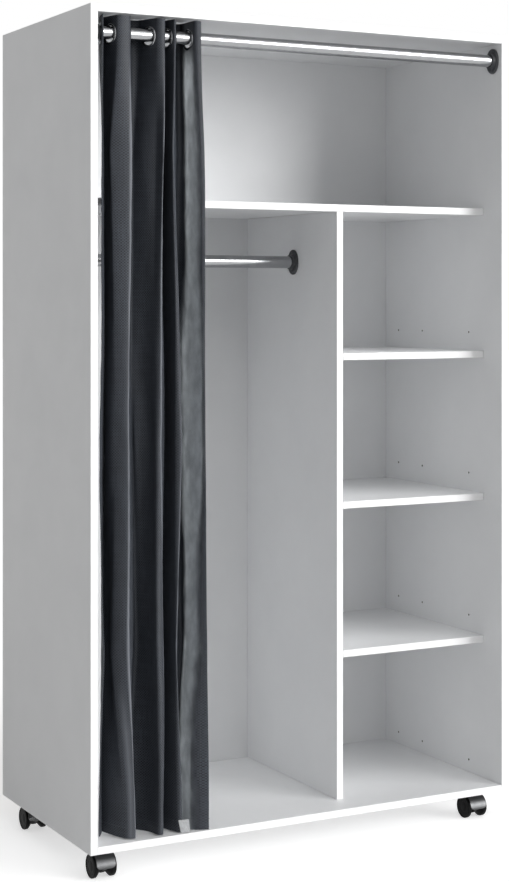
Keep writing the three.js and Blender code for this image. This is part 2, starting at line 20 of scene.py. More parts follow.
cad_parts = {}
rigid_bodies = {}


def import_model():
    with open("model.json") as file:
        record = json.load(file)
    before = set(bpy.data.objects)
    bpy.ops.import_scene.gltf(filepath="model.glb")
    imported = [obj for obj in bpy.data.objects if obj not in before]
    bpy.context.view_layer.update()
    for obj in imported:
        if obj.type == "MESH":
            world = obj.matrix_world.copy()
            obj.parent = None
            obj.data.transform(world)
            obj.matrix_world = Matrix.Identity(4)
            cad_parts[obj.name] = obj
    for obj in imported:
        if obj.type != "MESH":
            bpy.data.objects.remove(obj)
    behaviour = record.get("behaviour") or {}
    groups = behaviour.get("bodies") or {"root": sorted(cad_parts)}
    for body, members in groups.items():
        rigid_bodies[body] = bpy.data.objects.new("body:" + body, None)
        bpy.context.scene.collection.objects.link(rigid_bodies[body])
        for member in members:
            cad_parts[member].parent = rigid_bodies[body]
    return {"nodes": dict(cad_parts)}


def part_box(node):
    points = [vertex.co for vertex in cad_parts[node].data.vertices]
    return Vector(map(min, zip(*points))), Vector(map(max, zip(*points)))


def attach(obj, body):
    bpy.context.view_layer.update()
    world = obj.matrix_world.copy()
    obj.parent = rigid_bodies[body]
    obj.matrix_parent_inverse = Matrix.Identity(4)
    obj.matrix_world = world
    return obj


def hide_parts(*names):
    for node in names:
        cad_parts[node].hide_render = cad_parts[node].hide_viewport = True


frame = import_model()

log = logging.getLogger("wardrobe")

Colour = tuple[float, float, float]
Point = tuple[float, float, float]
Profile = Sequence[tuple[float, float]]
Place = tuple[Point, Point, float]
Grid = tuple[np.ndarray, np.ndarray, np.ndarray, np.ndarray]


class Axis(Enum):
    """An axis that a turned shape spins about."""

    X = "x"
    Z = "z"


class Side(Enum):
    """An end or a wall on the left or the right. Its value is its way along X."""

    LEFT = -1
    RIGHT = 1


class Row(Enum):
    """A row of castors. Its value is its way along Y."""

    FRONT = -1
    REAR = 1


class Cut(Enum):
    """What a boolean step does with its tool."""

    TAKE = "DIFFERENCE"
    JOIN = "UNION"


def linked(name: str, data: bpy.types.ID) -> bpy.types.Object:
    """Makes an object from its data and puts it into the scene."""
    made = bpy.data.objects.new(name, data)
    bpy.context.scene.collection.objects.link(made)
    return made


# ---------------------------------------------------------------------------- node trees


class Nodes:
    """A node tree, with short ways to add and join its nodes."""

    def __init__(self, tree: bpy.types.NodeTree) -> None:
        """Takes over a tree and empties it."""
        self.tree = tree
        self.tree.nodes.clear()

    def join(self, source: bpy.types.NodeSocket, target: bpy.types.NodeSocket) -> None:
        """Joins an output to an input."""
        self.tree.links.new(source, target)

    def feed(self, socket: bpy.types.NodeSocket, value: object) -> None:
        """Joins an output to an input, or sets the input to a plain value."""
        if isinstance(value, bpy.types.NodeSocket):
            self.join(value, socket)
        elif value is not None:
            socket.default_value = value

    def add(self, kind: str, **values: object) -> bpy.types.Node:
        """Adds a node and feeds its inputs. A word's underscores stand for spaces.

        Args:
            kind: The kind of node.
            **values: An output, or a plain value, for each input that is named.

        Returns:
            The node.
        """
        node = self.tree.nodes.new(kind)
        for word, value in values.items():
            self.feed(node.inputs[word.replace("_", " ")], value)
        return node


class Tree(Nodes):
    """The shader tree of a material or of the world."""

    def __init__(self, owner: bpy.types.Material | bpy.types.World) -> None:
        """Starts an empty tree.

        Args:
            owner: What the tree belongs to.
        """
        owner.use_nodes = True
        super().__init__(owner.node_tree)

    def span(
        self, value: bpy.types.NodeSocket, low: float, high: float, start: float = 0.0, end: float = 1.0
    ) -> bpy.types.NodeSocket:
        """Maps a value from one range to another.

        Args:
            value: The value to map.
            low: The new value at the start.
            high: The new value at the end.
            start: The start of the old range.
            end: The end of the old range.

        Returns:
            The mapped output.
        """
        node = self.add(
            "ShaderNodeMapRange", Value=value, From_Min=start, From_Max=end, To_Min=low, To_Max=high
        )
        return node.outputs["Result"]

    def sum(self, operation: str, first: object, second: object = None) -> bpy.types.NodeSocket:
        """A Math node on one or two values.

        Args:
            operation: What the node does.
            first: The first value.
            second: The second value, if there is one.

        Returns:
            The result.
        """
        node = self.add("ShaderNodeMath")
        node.operation = operation
        self.feed(node.inputs[0], first)
        self.feed(node.inputs[1], second)
        return node.outputs["Value"]

    def seen(self) -> bpy.types.NodeSocket:
        """1 where the camera looks, by itself or through a gloss or a clear part, otherwise 0."""
        path = self.add("ShaderNodeLightPath")
        direct = self.sum("MAXIMUM", path.outputs["Is Camera Ray"], path.outputs["Is Glossy Ray"])
        return self.sum("MAXIMUM", direct, path.outputs["Is Transmission Ray"])


class Finish(Tree):
    """The node tree of one material, which holds one shader."""

    def __init__(self, name: str) -> None:
        """Starts the material.

        Args:
            name: The material's name.
        """
        self.material = bpy.data.materials.new(name)
        super().__init__(self.material)
        self.output = self.add("ShaderNodeOutputMaterial")
        self.shader = self.add("ShaderNodeBsdfPrincipled")
        self.join(self.shader.outputs["BSDF"], self.output.inputs["Surface"])

    def plain(self, **values: object) -> None:
        """Sets sockets of the shader itself. A word's underscores stand for spaces."""
        for word, value in values.items():
            self.shader.inputs[word.replace("_", " ")].default_value = value

    def place(self, source: str = "Object", scale: Point = (1.0, 1.0, 1.0)) -> bpy.types.NodeSocket:
        """Texture coordinates in metres, scaled.

        Args:
            source: The name of the coordinate output.
            scale: How many pattern units there are to a metre on each axis.

        Returns:
            The vector output.
        """
        coordinates = self.add("ShaderNodeTexCoord").outputs[source]
        return self.add("ShaderNodeMapping", Scale=scale, Vector=coordinates).outputs["Vector"]

    def noise(
        self, vector: bpy.types.NodeSocket, scale: float, detail: float = 2.0, rough: float = 0.5
    ) -> bpy.types.NodeSocket:
        """Cloudy noise from 0 to 1.

        Args:
            vector: Where the pattern is read.
            scale: Clouds to a unit.
            detail: Finer layers.
            rough: How strong the finer layers are.

        Returns:
            The factor output.
        """
        node = self.add("ShaderNodeTexNoise", Scale=scale, Detail=detail, Roughness=rough, Vector=vector)
        return node.outputs["Fac"]

    def cells(self, vector: bpy.types.NodeSocket, scale: float) -> bpy.types.NodeSocket:
        """Distance to the nearest of scattered points."""
        return self.add("ShaderNodeTexVoronoi", Scale=scale, Vector=vector).outputs["Distance"]

    def mix(self, factor: object, first: object, second: object) -> bpy.types.NodeSocket:
        """Mixes two colours.

        Args:
            factor: The share of the second colour.
            first: A colour output, or a plain colour.
            second: A colour output, or a plain colour.

        Returns:
            The mixed colour.
        """
        node = self.add("ShaderNodeMix")
        node.data_type = "RGBA"
        ins = [s for s in node.inputs if s.type == "RGBA"]
        self.feed(node.inputs["Factor"], factor)
        for socket, value in zip(ins, (first, second)):
            self.feed(socket, (*value, 1.0) if isinstance(value, tuple) else value)
        return next(s for s in node.outputs if s.type == "RGBA")

    def parts(self, vector: bpy.types.NodeSocket) -> tuple[bpy.types.NodeSocket, bpy.types.NodeSocket]:
        """A vector's X and Y."""
        split = self.add("ShaderNodeSeparateXYZ", Vector=vector)
        return split.outputs["X"], split.outputs["Y"]

    def off(self, value: bpy.types.NodeSocket, centre: float) -> bpy.types.NodeSocket:
        """How far a value is from a centre."""
        return self.sum("ABSOLUTE", self.sum("SUBTRACT", value, centre))

    def colour(self, value: bpy.types.NodeSocket) -> None:
        """Joins a colour to the shader's base colour."""
        self.join(value, self.shader.inputs["Base Color"])

    def rough(self, value: bpy.types.NodeSocket) -> None:
        """Joins a value to the shader's roughness."""
        self.join(value, self.shader.inputs["Roughness"])

    def join_shader(self, both: bpy.types.Node, first: int, second: bpy.types.NodeSocket) -> None:
        """Puts a node that joins two shaders between the main shader and the surface.

        Args:
            both: The node.
            first: The number of its input for the main shader. The second shader's comes next.
            second: The second shader.
        """
        self.join(self.shader.outputs["BSDF"], both.inputs[first])
        self.join(second, both.inputs[first + 1])
        self.join(both.outputs["Shader"], self.output.inputs["Surface"])

    def relief(self, height: bpy.types.NodeSocket, depth: float, strength: float = 1.0) -> None:
        """Adds a bump of a real depth under any bump that is already there.

        Args:
            height: The height from 0 to 1.
            depth: The depth in metres that 1 stands for.
            strength: The strength of the bump.
        """
        node = self.add("ShaderNodeBump", Distance=depth, Strength=strength, Height=height)
        normal = self.shader.inputs["Normal"]
        if normal.links:
            self.join(normal.links[0].from_socket, node.inputs["Normal"])
        self.join(node.outputs["Normal"], normal)


@dataclass(frozen=True)
class BoardFinish:
    """White melamine on chipboard: a faint pearl grain and a soft satin gloss."""

    name: str = "melamine"
    tone: Colour = (0.862, 0.868, 0.876)
    shade: Colour = (0.825, 0.832, 0.842)
    gloss: float = 0.44
    pearl: float = 1400.0

    def make(self) -> bpy.types.Material:
        """Builds the material.

        Returns:
            The material.
        """
        finish = Finish(self.name)
        place = finish.place()
        cloud = finish.noise(place, 7.0, 4.0, 0.6)
        fine = finish.noise(place, self.pearl, 2.0)
        tint = finish.mix(finish.span(cloud, 0.0, 1.0, 0.3, 0.75), self.tone, self.shade)
        finish.colour(finish.mix(finish.span(fine, 0.0, 0.12), tint, self.shade))
        smudge = finish.noise(place, 24.0, 5.0, 0.65)
        finish.rough(finish.span(smudge, self.gloss - 0.06, self.gloss + 0.08, 0.3, 0.7))
        finish.relief(finish.cells(place, self.pearl * 0.6), 0.00003, 0.5)
        finish.relief(fine, 0.00002, 0.6)
        return finish.material


@dataclass(frozen=True)
class EdgeFinish:
    """The thin white edge band, a little smoother than the faces, with faint cutter marks."""

    name: str = "edge_band"
    tone: Colour = (0.868, 0.87, 0.872)
    worn: Colour = (0.82, 0.82, 0.815)

    def make(self) -> bpy.types.Material:
        """Builds the material.

        Returns:
            The material.
        """
        finish = Finish(self.name)
        place = finish.place()
        along = finish.noise(finish.place(scale=(18.0, 900.0, 18.0)), 1.0, 3.0)
        wear_and_highlight = finish.noise(place, 55.0, 6.0, 0.7)
        finish.colour(finish.mix(finish.span(wear_and_highlight, 0.0, 0.5, 0.58, 0.8), self.tone, self.worn))
        finish.rough(finish.span(along, 0.34, 0.46, 0.3, 0.7))
        finish.relief(along, 0.00003, 0.5)
        return finish.material


@dataclass(frozen=True)
class ShadedCoreFinish:
    """Raw chipboard in the holes and grooves: pressed flakes and glue, toned far darker than bare chipboard
    as painted shade.
    """

    name: str = "chipboard_core"
    # painted shade: the brown and its flakes are darker than bare chipboard, for the shade inside the holes
    tone: Colour = (0.05, 0.038, 0.026)
    flake: Colour = (0.12, 0.092, 0.062)

    def make(self) -> bpy.types.Material:
        """Builds the material.

        Returns:
            The material.
        """
        finish = Finish(self.name)
        place = finish.place(scale=(1.0, 2.0, 1.0))
        flakes = finish.cells(place, 420.0)
        finish.colour(finish.mix(finish.span(flakes, 0.0, 1.0, 0.1, 0.7), self.flake, self.tone))
        finish.plain(Roughness=0.9)
        finish.relief(flakes, 0.0003, 0.8)
        return finish.material


@dataclass(frozen=True)
class FibreboardFinish:
    """The raw rear face of the thin back board: brown pressed fibres."""

    name: str = "fibreboard_rear"
    tone: Colour = (0.33, 0.235, 0.15)
    light: Colour = (0.45, 0.34, 0.23)

    def make(self) -> bpy.types.Material:
        """Builds the material.

        Returns:
            The material.
        """
        finish = Finish(self.name)
        fibres = finish.noise(finish.place(scale=(1.0, 1.0, 2.6)), 210.0, 6.0, 0.7)
        cloud = finish.noise(finish.place(), 5.0, 3.0)
        tint = finish.mix(finish.span(fibres, 0.0, 1.0, 0.35, 0.68), self.tone, self.light)
        finish.colour(finish.mix(finish.span(cloud, 0.0, 0.35, 0.3, 0.7), tint, self.tone))
        finish.plain(Roughness=0.85)
        finish.relief(fibres, 0.00012, 0.7)
        return finish.material


@dataclass(frozen=True)
class ChromeFinish:
    """Chrome-plated steel, with hair-fine polishing lines along its length."""

    name: str = "chrome"
    tone: Colour = (0.40, 0.405, 0.415)
    dull: Colour = (0.33, 0.335, 0.345)
    gloss: float = 0.17
    along: Point = (6.0, 900.0, 900.0)

    def make(self) -> bpy.types.Material:
        """Builds the material.

        Returns:
            The material.
        """
        finish = Finish(self.name)
        lines = finish.noise(finish.place(scale=self.along), 1.0, 4.0, 0.6)
        spots = finish.noise(finish.place(), 60.0, 4.0, 0.6)
        finish.colour(finish.mix(finish.span(spots, 0.0, 0.6, 0.45, 0.75), self.tone, self.dull))
        finish.rough(finish.span(lines, self.gloss - 0.04, self.gloss + 0.06, 0.3, 0.7))
        finish.relief(lines, 0.000004, 0.4)
        finish.plain(Metallic=1.0)
        return finish.material


@dataclass(frozen=True)
class MouldedFinish:
    """Moulded plastic with a fine spark-eroded grain."""

    name: str
    tone: Colour
    worn: Colour
    gloss: float
    grain: float = 2600.0
    depth: float = 0.00003
    shine: float = 0.5
    metal: float = 0.0

    def make(self) -> bpy.types.Material:
        """Builds the material.

        Returns:
            The material.
        """
        finish = Finish(self.name)
        place = finish.place()
        scuff = finish.noise(place, 160.0, 5.0, 0.7)
        fine = finish.noise(place, self.grain, 2.0)
        finish.colour(finish.mix(finish.span(scuff, 0.0, 0.7, 0.5, 0.8), self.tone, self.worn))
        finish.rough(finish.span(scuff, self.gloss - 0.05, self.gloss + 0.12, 0.3, 0.75))
        finish.relief(fine, self.depth, 0.6)
        finish.plain(Specular_IOR_Level=self.shine, Metallic=self.metal)
        return finish.material


@dataclass(frozen=True)
class SteelFinish:
    """Zinc-plated steel: grey, with a soft crystalline bloom."""

    name: str = "zinc_steel"
    tone: Colour = (0.55, 0.56, 0.58)
    bloom: Colour = (0.42, 0.43, 0.45)

    def make(self) -> bpy.types.Material:
        """Builds the material.

        Returns:
            The material.
        """
        finish = Finish(self.name)
        place = finish.place()
        crystals = finish.cells(place, 380.0)
        spots = finish.noise(place, 120.0, 4.0)
        finish.colour(finish.mix(finish.span(crystals, 0.0, 0.8, 0.1, 0.8), self.tone, self.bloom))
        finish.rough(finish.span(spots, 0.3, 0.46, 0.3, 0.7))
        finish.relief(spots, 0.00002, 0.4)
        finish.plain(Metallic=1.0)
        return finish.material


@dataclass(frozen=True)
class BeechFinish:
    """Beech dowels: pale wood with short flecks and pressed flutes."""

    name: str = "beech"
    tone: Colour = (0.58, 0.40, 0.23)
    fleck: Colour = (0.42, 0.27, 0.14)

    def make(self) -> bpy.types.Material:
        """Builds the material.

        Returns:
            The material.
        """
        finish = Finish(self.name)
        grain = finish.noise(finish.place(scale=(40.0, 700.0, 700.0)), 1.0, 4.0, 0.6)
        fleck = finish.cells(finish.place(scale=(120.0, 900.0, 900.0)), 1.0)
        tint = finish.mix(finish.span(grain, 0.0, 1.0, 0.35, 0.7), self.tone, self.fleck)
        finish.colour(finish.mix(finish.span(fleck, 0.5, 0.0, 0.0, 0.35), tint, self.fleck))
        finish.plain(Roughness=0.7)
        finish.relief(grain, 0.0001, 0.6)
        return finish.material


@dataclass(frozen=True)
class Crest:
    """A painted highlight along the nose of a fold: its place and half width along the cloth, its top and its
    strength.
    """

    centre: float
    half: float = 0.0042
    top: float = 1.72
    strength: float = 0.8


@dataclass(frozen=True)
class ClothFinish:
    """Dark hopsack cloth: threads in pairs over each other, slubs, a satin sheen and painted highlights along
    the noses of the folds.

    The last panel hangs in a single layer, so some daylight comes through it.
    """

    name: str = "curtain_cloth"
    warp: Colour = (0.0085, 0.0102, 0.0135)
    weft: Colour = (0.045, 0.051, 0.063)
    # painted highlight: the pale colour laid along the fold crests
    crest_highlight_tone: Colour = (0.17, 0.182, 0.205)
    daylit: Colour = (0.90, 0.93, 0.95)
    sheen: Colour = (0.70, 0.74, 0.82)
    through: float = 0.60
    cell: float = 0.0029
    relief: float = 0.00024
    band: tuple[float, float] = (0.499, 0.027)
    band_widest: float = 1.0
    crests: tuple[Crest, ...] = (Crest(0.1345), Crest(0.2825), Crest(0.404), Crest(0.1195, 0.0115, 0.42, 0.5))
    crest_highlight_taper: float = 0.12

    def daylight(self, finish: Finish) -> bpy.types.NodeSocket:
        """How much daylight shows through, from 0 to 1.

        Args:
            finish: The material being built.

        Returns:
            The share along and across the single layer.
        """
        x, height = finish.parts(finish.place("UV"))
        cloud = finish.noise(finish.place("UV", (20.0, 5.0, 1.0)), 1.0, 3.0, 0.6)
        blot = finish.noise(finish.place("UV", (60.0, 22.0, 1.0)), 1.0, 3.0, 0.6)
        centre, half = self.band
        across = finish.sum("ADD", x, finish.span(cloud, -0.006, 0.006, 0.3, 0.7))
        reach = finish.span(finish.off(height, self.band_widest), half * 1.5, half, 0.08, 0.32)
        band = finish.sum("SUBTRACT", 1.0, finish.sum("DIVIDE", finish.off(across, centre), reach))
        soft = finish.span(band, 0.0, 1.0, 0.0, 0.55)
        header = finish.span(height, 1.0, 0.25, 1.69, 1.74)
        mottle = finish.span(blot, 0.72, 1.0, 0.35, 0.65)
        return finish.sum("MULTIPLY", finish.sum("MULTIPLY", soft, header), mottle)

    def wear_and_highlight(self, finish: Finish) -> bpy.types.NodeSocket:
        """How much painted highlight lies along the noses of the folds, from 0 to 1.

        Args:
            finish: The material being built.

        Returns:
            The share, full along each crest and nothing beside it.
        """
        x, height = finish.parts(finish.place("UV"))
        cloud = finish.noise(finish.place("UV", (9.0, 6.0, 1.0)), 1.0, 3.0, 0.6)
        across = finish.sum("ADD", x, finish.span(cloud, -0.0012, 0.0012, 0.3, 0.7))
        whole: object = 0.0
        for crest in self.crests:
            share = finish.span(finish.off(across, crest.centre), crest.strength, 0.0, 0.0, crest.half)
            below = finish.span(height, 1.0, 0.0, crest.top - self.crest_highlight_taper, crest.top)
            whole = finish.sum("MAXIMUM", whole, finish.sum("MULTIPLY", share, below))
        return whole

    def make(self) -> bpy.types.Material:
        """Builds the material. Its UV map is in metres along the width and the height.

        Returns:
            The material.
        """
        finish = Finish(self.name)
        cells = 1.0 / self.cell
        place = finish.place("UV", (cells, cells, 1.0))
        pairs = [
            finish.sum("ABSOLUTE", finish.sum("SINE", finish.sum("MULTIPLY", part, math.tau)))
            for part in finish.parts(place)
        ]
        checker = finish.add("ShaderNodeTexChecker", Scale=1.0, Vector=place).outputs["Fac"]
        face = finish.mix(checker, self.warp, self.weft)
        upright = finish.noise(finish.place("UV", (420.0, 20.0, 1.0)), 1.0, 3.0, 0.6)
        across = finish.noise(finish.place("UV", (16.0, 380.0, 1.0)), 1.0, 3.0, 0.6)
        slubs = finish.sum("MULTIPLY", upright, across)
        slubbed = finish.mix(finish.span(slubs, 0.0, 0.8, 0.2, 0.36), face, self.weft)
        cloud = finish.noise(finish.place("UV", (14.0, 6.0, 1.0)), 1.0, 4.0, 0.6)
        tint = finish.mix(finish.span(cloud, 0.0, 0.4, 0.35, 0.75), slubbed, self.warp)
        # painted highlight: the cloth is mixed towards a pale colour along the fold crests
        finish.colour(finish.mix(self.wear_and_highlight(finish), tint, self.crest_highlight_tone))
        height = finish.mix(checker, (0.0, 0.0, 0.0), (1.0, 1.0, 1.0))
        finish.relief(slubs, self.relief * 1.4, 0.7)
        finish.relief(finish.mix(height, *pairs), self.relief, 0.5)
        finish.rough(finish.span(slubs, 0.46, 0.6, 0.15, 0.4))
        finish.plain(Sheen_Weight=0.12, Sheen_Roughness=0.3, Specular_IOR_Level=0.3)
        finish.plain(Sheen_Tint=(*self.sheen, 1.0))
        glow = finish.add("ShaderNodeBsdfTranslucent", Color=(*self.daylit, 1.0))
        share = finish.sum("MULTIPLY", self.daylight(finish), self.through)
        finish.join_shader(finish.add("ShaderNodeMixShader", Fac=share), 1, glow.outputs["BSDF"])
        return finish.material


@dataclass(frozen=True)
class TapeFinish:
    """Woven satin tape with fine creases down its length, darkened along them as painted shade, and soiled in
    spots.
    """

    name: str = "label_tape"
    tone: Colour = (0.43, 0.44, 0.45)
    shade: Colour = (0.2, 0.205, 0.21)

    def make(self) -> bpy.types.Material:
        """Builds the material.

        Returns:
            The material.
        """
        finish = Finish(self.name)
        ribs = finish.noise(finish.place("UV", (900.0, 110.0, 1.0)), 1.0, 2.0)
        soil = finish.noise(finish.place("UV", (90.0, 90.0, 1.0)), 1.0, 4.0)
        # painted shade: the colour darkens along the creases; the soil below is real dirt in the same dark
        # colour
        tint = finish.mix(finish.span(ribs, 0.0, 0.9, 0.4, 0.75), self.tone, self.shade)
        finish.colour(finish.mix(finish.span(soil, 0.0, 0.3, 0.4, 0.7), tint, self.shade))
        finish.plain(Roughness=0.6, Sheen_Weight=0.2)
        finish.relief(ribs, 0.00008, 0.6)
        return finish.material


@dataclass(frozen=True)
class ThreadFinish:
    """Twisted sewing thread."""

    name: str = "sewing_thread"
    tone: Colour = (0.03, 0.033, 0.04)
    light: Colour = (0.06, 0.064, 0.075)

    def make(self) -> bpy.types.Material:
        """Builds the material.

        Returns:
            The material.
        """
        finish = Finish(self.name)
        twist = finish.noise(finish.place(), 2600.0, 2.0)
        finish.colour(finish.mix(finish.span(twist, 0.0, 1.0, 0.35, 0.65), self.tone, self.light))
        finish.plain(Roughness=0.6, Sheen_Weight=0.2)
        finish.relief(twist, 0.00006, 0.6)
        return finish.material


@dataclass(frozen=True)
class StudioFinish:
    """A pale floor that looks white to the eye and still takes the object's shadow."""

    name: str = "pale_floor"
    tone: Colour = (0.80, 0.80, 0.80)
    shade: Colour = (0.74, 0.74, 0.74)
    lift: float = 0.55

    def make(self) -> bpy.types.Material:
        """Builds the material. The lift shows to the camera and in reflections only.

        Returns:
            The material.
        """
        finish = Finish(self.name)
        cloud = finish.noise(finish.place(), 0.8, 2.0)
        finish.colour(finish.mix(finish.span(cloud, 0.0, 0.06), self.tone, self.shade))
        finish.plain(Roughness=0.8, Specular_IOR_Level=0.2)
        glow = finish.add("ShaderNodeEmission", Strength=finish.sum("MULTIPLY", finish.seen(), self.lift))
        finish.join_shader(finish.add("ShaderNodeAddShader"), 0, glow.outputs["Emission"])
        return finish.material


# ---------------------------------------------------------------------------- solid shapes


class Solid:
    """A mesh in the object's own frame that is cut, joined, eased and then dressed."""

    def __init__(self, mesh: bpy.types.Mesh) -> None:
        """Puts a mesh into the scene.

        Args:
            mesh: The mesh, in metres.
        """
        self.body = linked("shape", mesh)

    @classmethod
    def of(cls, vertices: Sequence[Point], faces: Sequence[Sequence[int]]) -> Solid:
        """Makes a solid from vertices and faces, with its faces turned outwards.

        Args:
            vertices: The places of the corners.
            faces: The corners of each face.

        Returns:
            The solid.
        """
        mesh = bpy.data.meshes.new("shape")
        mesh.from_pydata([tuple(v) for v in vertices], [], [tuple(f) for f in faces])
        work = bmesh.new()
        work.from_mesh(mesh)
        bmesh.ops.remove_doubles(work, verts=work.verts, dist=1e-6)
        bmesh.ops.recalc_face_normals(work, faces=work.faces)
        work.to_mesh(mesh)
        work.free()
        return cls(mesh)

    @classmethod
    def turned(cls, profile: Profile, sides: int, axis: Axis = Axis.Z, ring: bool = False) -> Solid:
        """Spins a profile about an axis.

        Args:
            profile: A radius and a place along the axis for each point.
            sides: How many sides the turned shape has.
            axis: The axis of the spin.
            ring: True where the profile closes on itself.

        Returns:
            The solid.
        """
        angles = [math.tau * i / sides for i in range(sides)]
        rings = []
        for radius, along in profile:
            points = [(radius * math.cos(t), radius * math.sin(t)) for t in angles]
            rings.append([(a, b, along) if axis is Axis.Z else (along, a, b) for a, b in points])
        return cls.stacked(rings, ring, (profile[0][0] > 1e-6, profile[-1][0] > 1e-6))

    @classmethod
    def disc(cls, radius: float, low: float, high: float, sides: int, axis: Axis = Axis.Z) -> Solid:
        """A plain round plug between two places along its axis."""
        return cls.turned([(0.0, low), (radius, low), (radius, high), (0.0, high)], sides, axis)

    @classmethod
    def stacked(
        cls, rings: Sequence[Sequence[Point]], closed: bool = False, caps: tuple[bool, bool] = (True, True)
    ) -> Solid:
        """Joins rings with the same number of points one after another.

        Args:
            rings: The rings.
            closed: True where the last ring joins the first one.
            caps: Whether the first and the last ring of an open stack are capped.

        Returns:
            The solid.
        """
        sides, count = len(rings[0]), len(rings)
        vertices = [p for ring in rings for p in ring]
        faces: list[tuple[int, ...]] = []
        for row in range(count if closed else count - 1):
            low, high = row * sides, (row + 1) % count * sides
            for i in range(sides):
                j = (i + 1) % sides
                faces.append((low + i, low + j, high + j, high + i))
        if caps[0] and not closed:
            faces.append(tuple(reversed(range(sides))))
        if caps[1] and not closed:
            faces.append(tuple(range((count - 1) * sides, count * sides)))
        return cls.of(vertices, faces)

    @classmethod
    def across(cls, outline: Profile, width: float) -> Solid:
        """Extrudes an outline of Y and Z points along X, centred on X = 0."""
        half = width / 2
        return cls.stacked([[(x, y, z) for y, z in outline] for x in (-half, half)])

    @classmethod
    def of_node(cls, node: str) -> Solid:
        """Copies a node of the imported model, with its loose triangles merged into faces.

        Args:
            node: The node's name.

        Returns:
            The solid.
        """
        work = bmesh.new()
        work.from_mesh(frame["nodes"][node].data)
        bmesh.ops.remove_doubles(work, verts=work.verts, dist=1e-5)
        bmesh.ops.dissolve_limit(work, angle_limit=math.radians(1), verts=work.verts, edges=work.edges)
        mesh = bpy.data.meshes.new("shape")
        work.to_mesh(mesh)
        work.free()
        return cls(mesh)

    def settle(self) -> Solid:
        """Makes the modifiers' result the mesh itself."""
        view = bpy.context.evaluated_depsgraph_get()
        mesh = bpy.data.meshes.new_from_object(self.body.evaluated_get(view))
        self.body.modifiers.clear()
        self.body.data = mesh
        return self

    def cut(self, tool: Solid, how: Cut = Cut.TAKE) -> Solid:
        """Takes a tool out of the solid or joins it on. The tool is used up.

        Args:
            tool: The solid that cuts or joins.
            how: Whether it is taken out or joined on.

        Returns:
            The solid itself.
        """
        step = self.body.modifiers.new("cut", "BOOLEAN")
        step.operation = how.value
        step.solver = "EXACT"
        step.object = tool.body
        self.settle()
        bpy.data.objects.remove(tool.body)
        return self

    def ease(self, width: float, steps: int = 2, above: float = 40.0) -> Solid:
        """Rounds the edges that are sharper than an angle.

        Args:
            width: How far the rounding reaches from the edge.
            steps: Faces across the rounding.
            above: The angle in degrees.

        Returns:
            The solid itself.
        """
        step = self.body.modifiers.new("ease", "BEVEL")
        step.width = width
        step.segments = steps
        step.limit_method = "ANGLE"
        step.angle_limit = math.radians(above)
        step.use_clamp_overlap = True
        return self.settle()

    def thicken(self, thickness: float, group: str = "") -> Solid:
        """Gives a sheet its thickness, half on each side.

        Args:
            thickness: The full thickness.
            group: The vertex group that weighs it, if one does.

        Returns:
            The solid itself.
        """
        step = self.body.modifiers.new("thickness", "SOLIDIFY")
        step.thickness = thickness
        step.offset = 0.0
        step.vertex_group = group
        return self.settle()

    def moved(self, x: float = 0.0, y: float = 0.0, z: float = 0.0, turn: float = 0.0) -> Solid:
        """Turns the solid about Z and then moves it."""
        self.body.data.transform(Matrix.Translation((x, y, z)) @ Matrix.Rotation(turn, 4, "Z"))
        return self

    def named(
        self,
        name: str,
        materials: Sequence[bpy.types.Material],
        body: str,
        slot: str,
        nodes: Sequence[str] = (),
        smooth: float = 32.0,
        weigh: bool = True,
    ) -> bpy.types.Object:
        """Finishes the piece: shading, materials, the body it rides on and what it stands for.

        Args:
            name: The piece's name.
            materials: Its materials, in the order of its faces' indices.
            body: The body that it rides on.
            slot: The record's material slot. Not used.
            nodes: The nodes that it replaces.
            smooth: Edges sharper than this many degrees stay sharp.
            weigh: True where large flat faces keep their own shading.

        Returns:
            The piece.
        """
        piece = self.body
        piece.name = piece.data.name = name
        choices = [face.material_index for face in piece.data.polygons]
        piece.data.materials.clear()
        for material in materials:
            piece.data.materials.append(material)
        piece.data.polygons.foreach_set("material_index", choices)
        piece.data.shade_smooth()
        piece.data.set_sharp_from_angle(angle=math.radians(smooth))
        if weigh:
            step = piece.modifiers.new("weigh", "WEIGHTED_NORMAL")
            step.keep_sharp = True
            self.settle()
            piece.data.name = name
        return finished(piece, body, nodes)


def finished(piece: bpy.types.Object, body: str, nodes: Sequence[str] = ()) -> bpy.types.Object:
    """Lets a piece ride on its body and what it replaces, and reports it.

    Args:
        piece: The piece, already in place.
        body: The body that it rides on.
        nodes: The nodes that it replaces.

    Returns:
        The piece.
    """
    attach(piece, body)
    if nodes:
        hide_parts(*nodes)
    triangles = sum(len(face.vertices) - 2 for face in piece.data.polygons)
    log.info("%s: %d triangles, rides on %s", piece.name, triangles, body)
    return piece


def rounded(corners: Profile, radius: float, steps: int = 4) -> list[tuple[float, float]]:
    """Rounds each corner of a flat outline.

    Args:
        corners: The outline's corners.
        radius: How far from a corner the rounding starts.
        steps: Points to a corner, less one.

    Returns:
        The rounded outline.
    """
    out: list[tuple[float, float]] = []
    for i, corner in enumerate(corners):
        here = Vector(corner)
        before, after = Vector(corners[i - 1]), Vector(corners[(i + 1) % len(corners)])
        reach = min(radius, (before - here).length * 0.45, (after - here).length * 0.45)
        start = here + (before - here).normalized() * reach
        end = here + (after - here).normalized() * reach
        for k in range(steps + 1):
            t = k / steps
            out.append(tuple(start.lerp(here, t).lerp(here.lerp(end, t), t)))
    return out


# ---------------------------------------------------------------------------- node patterns


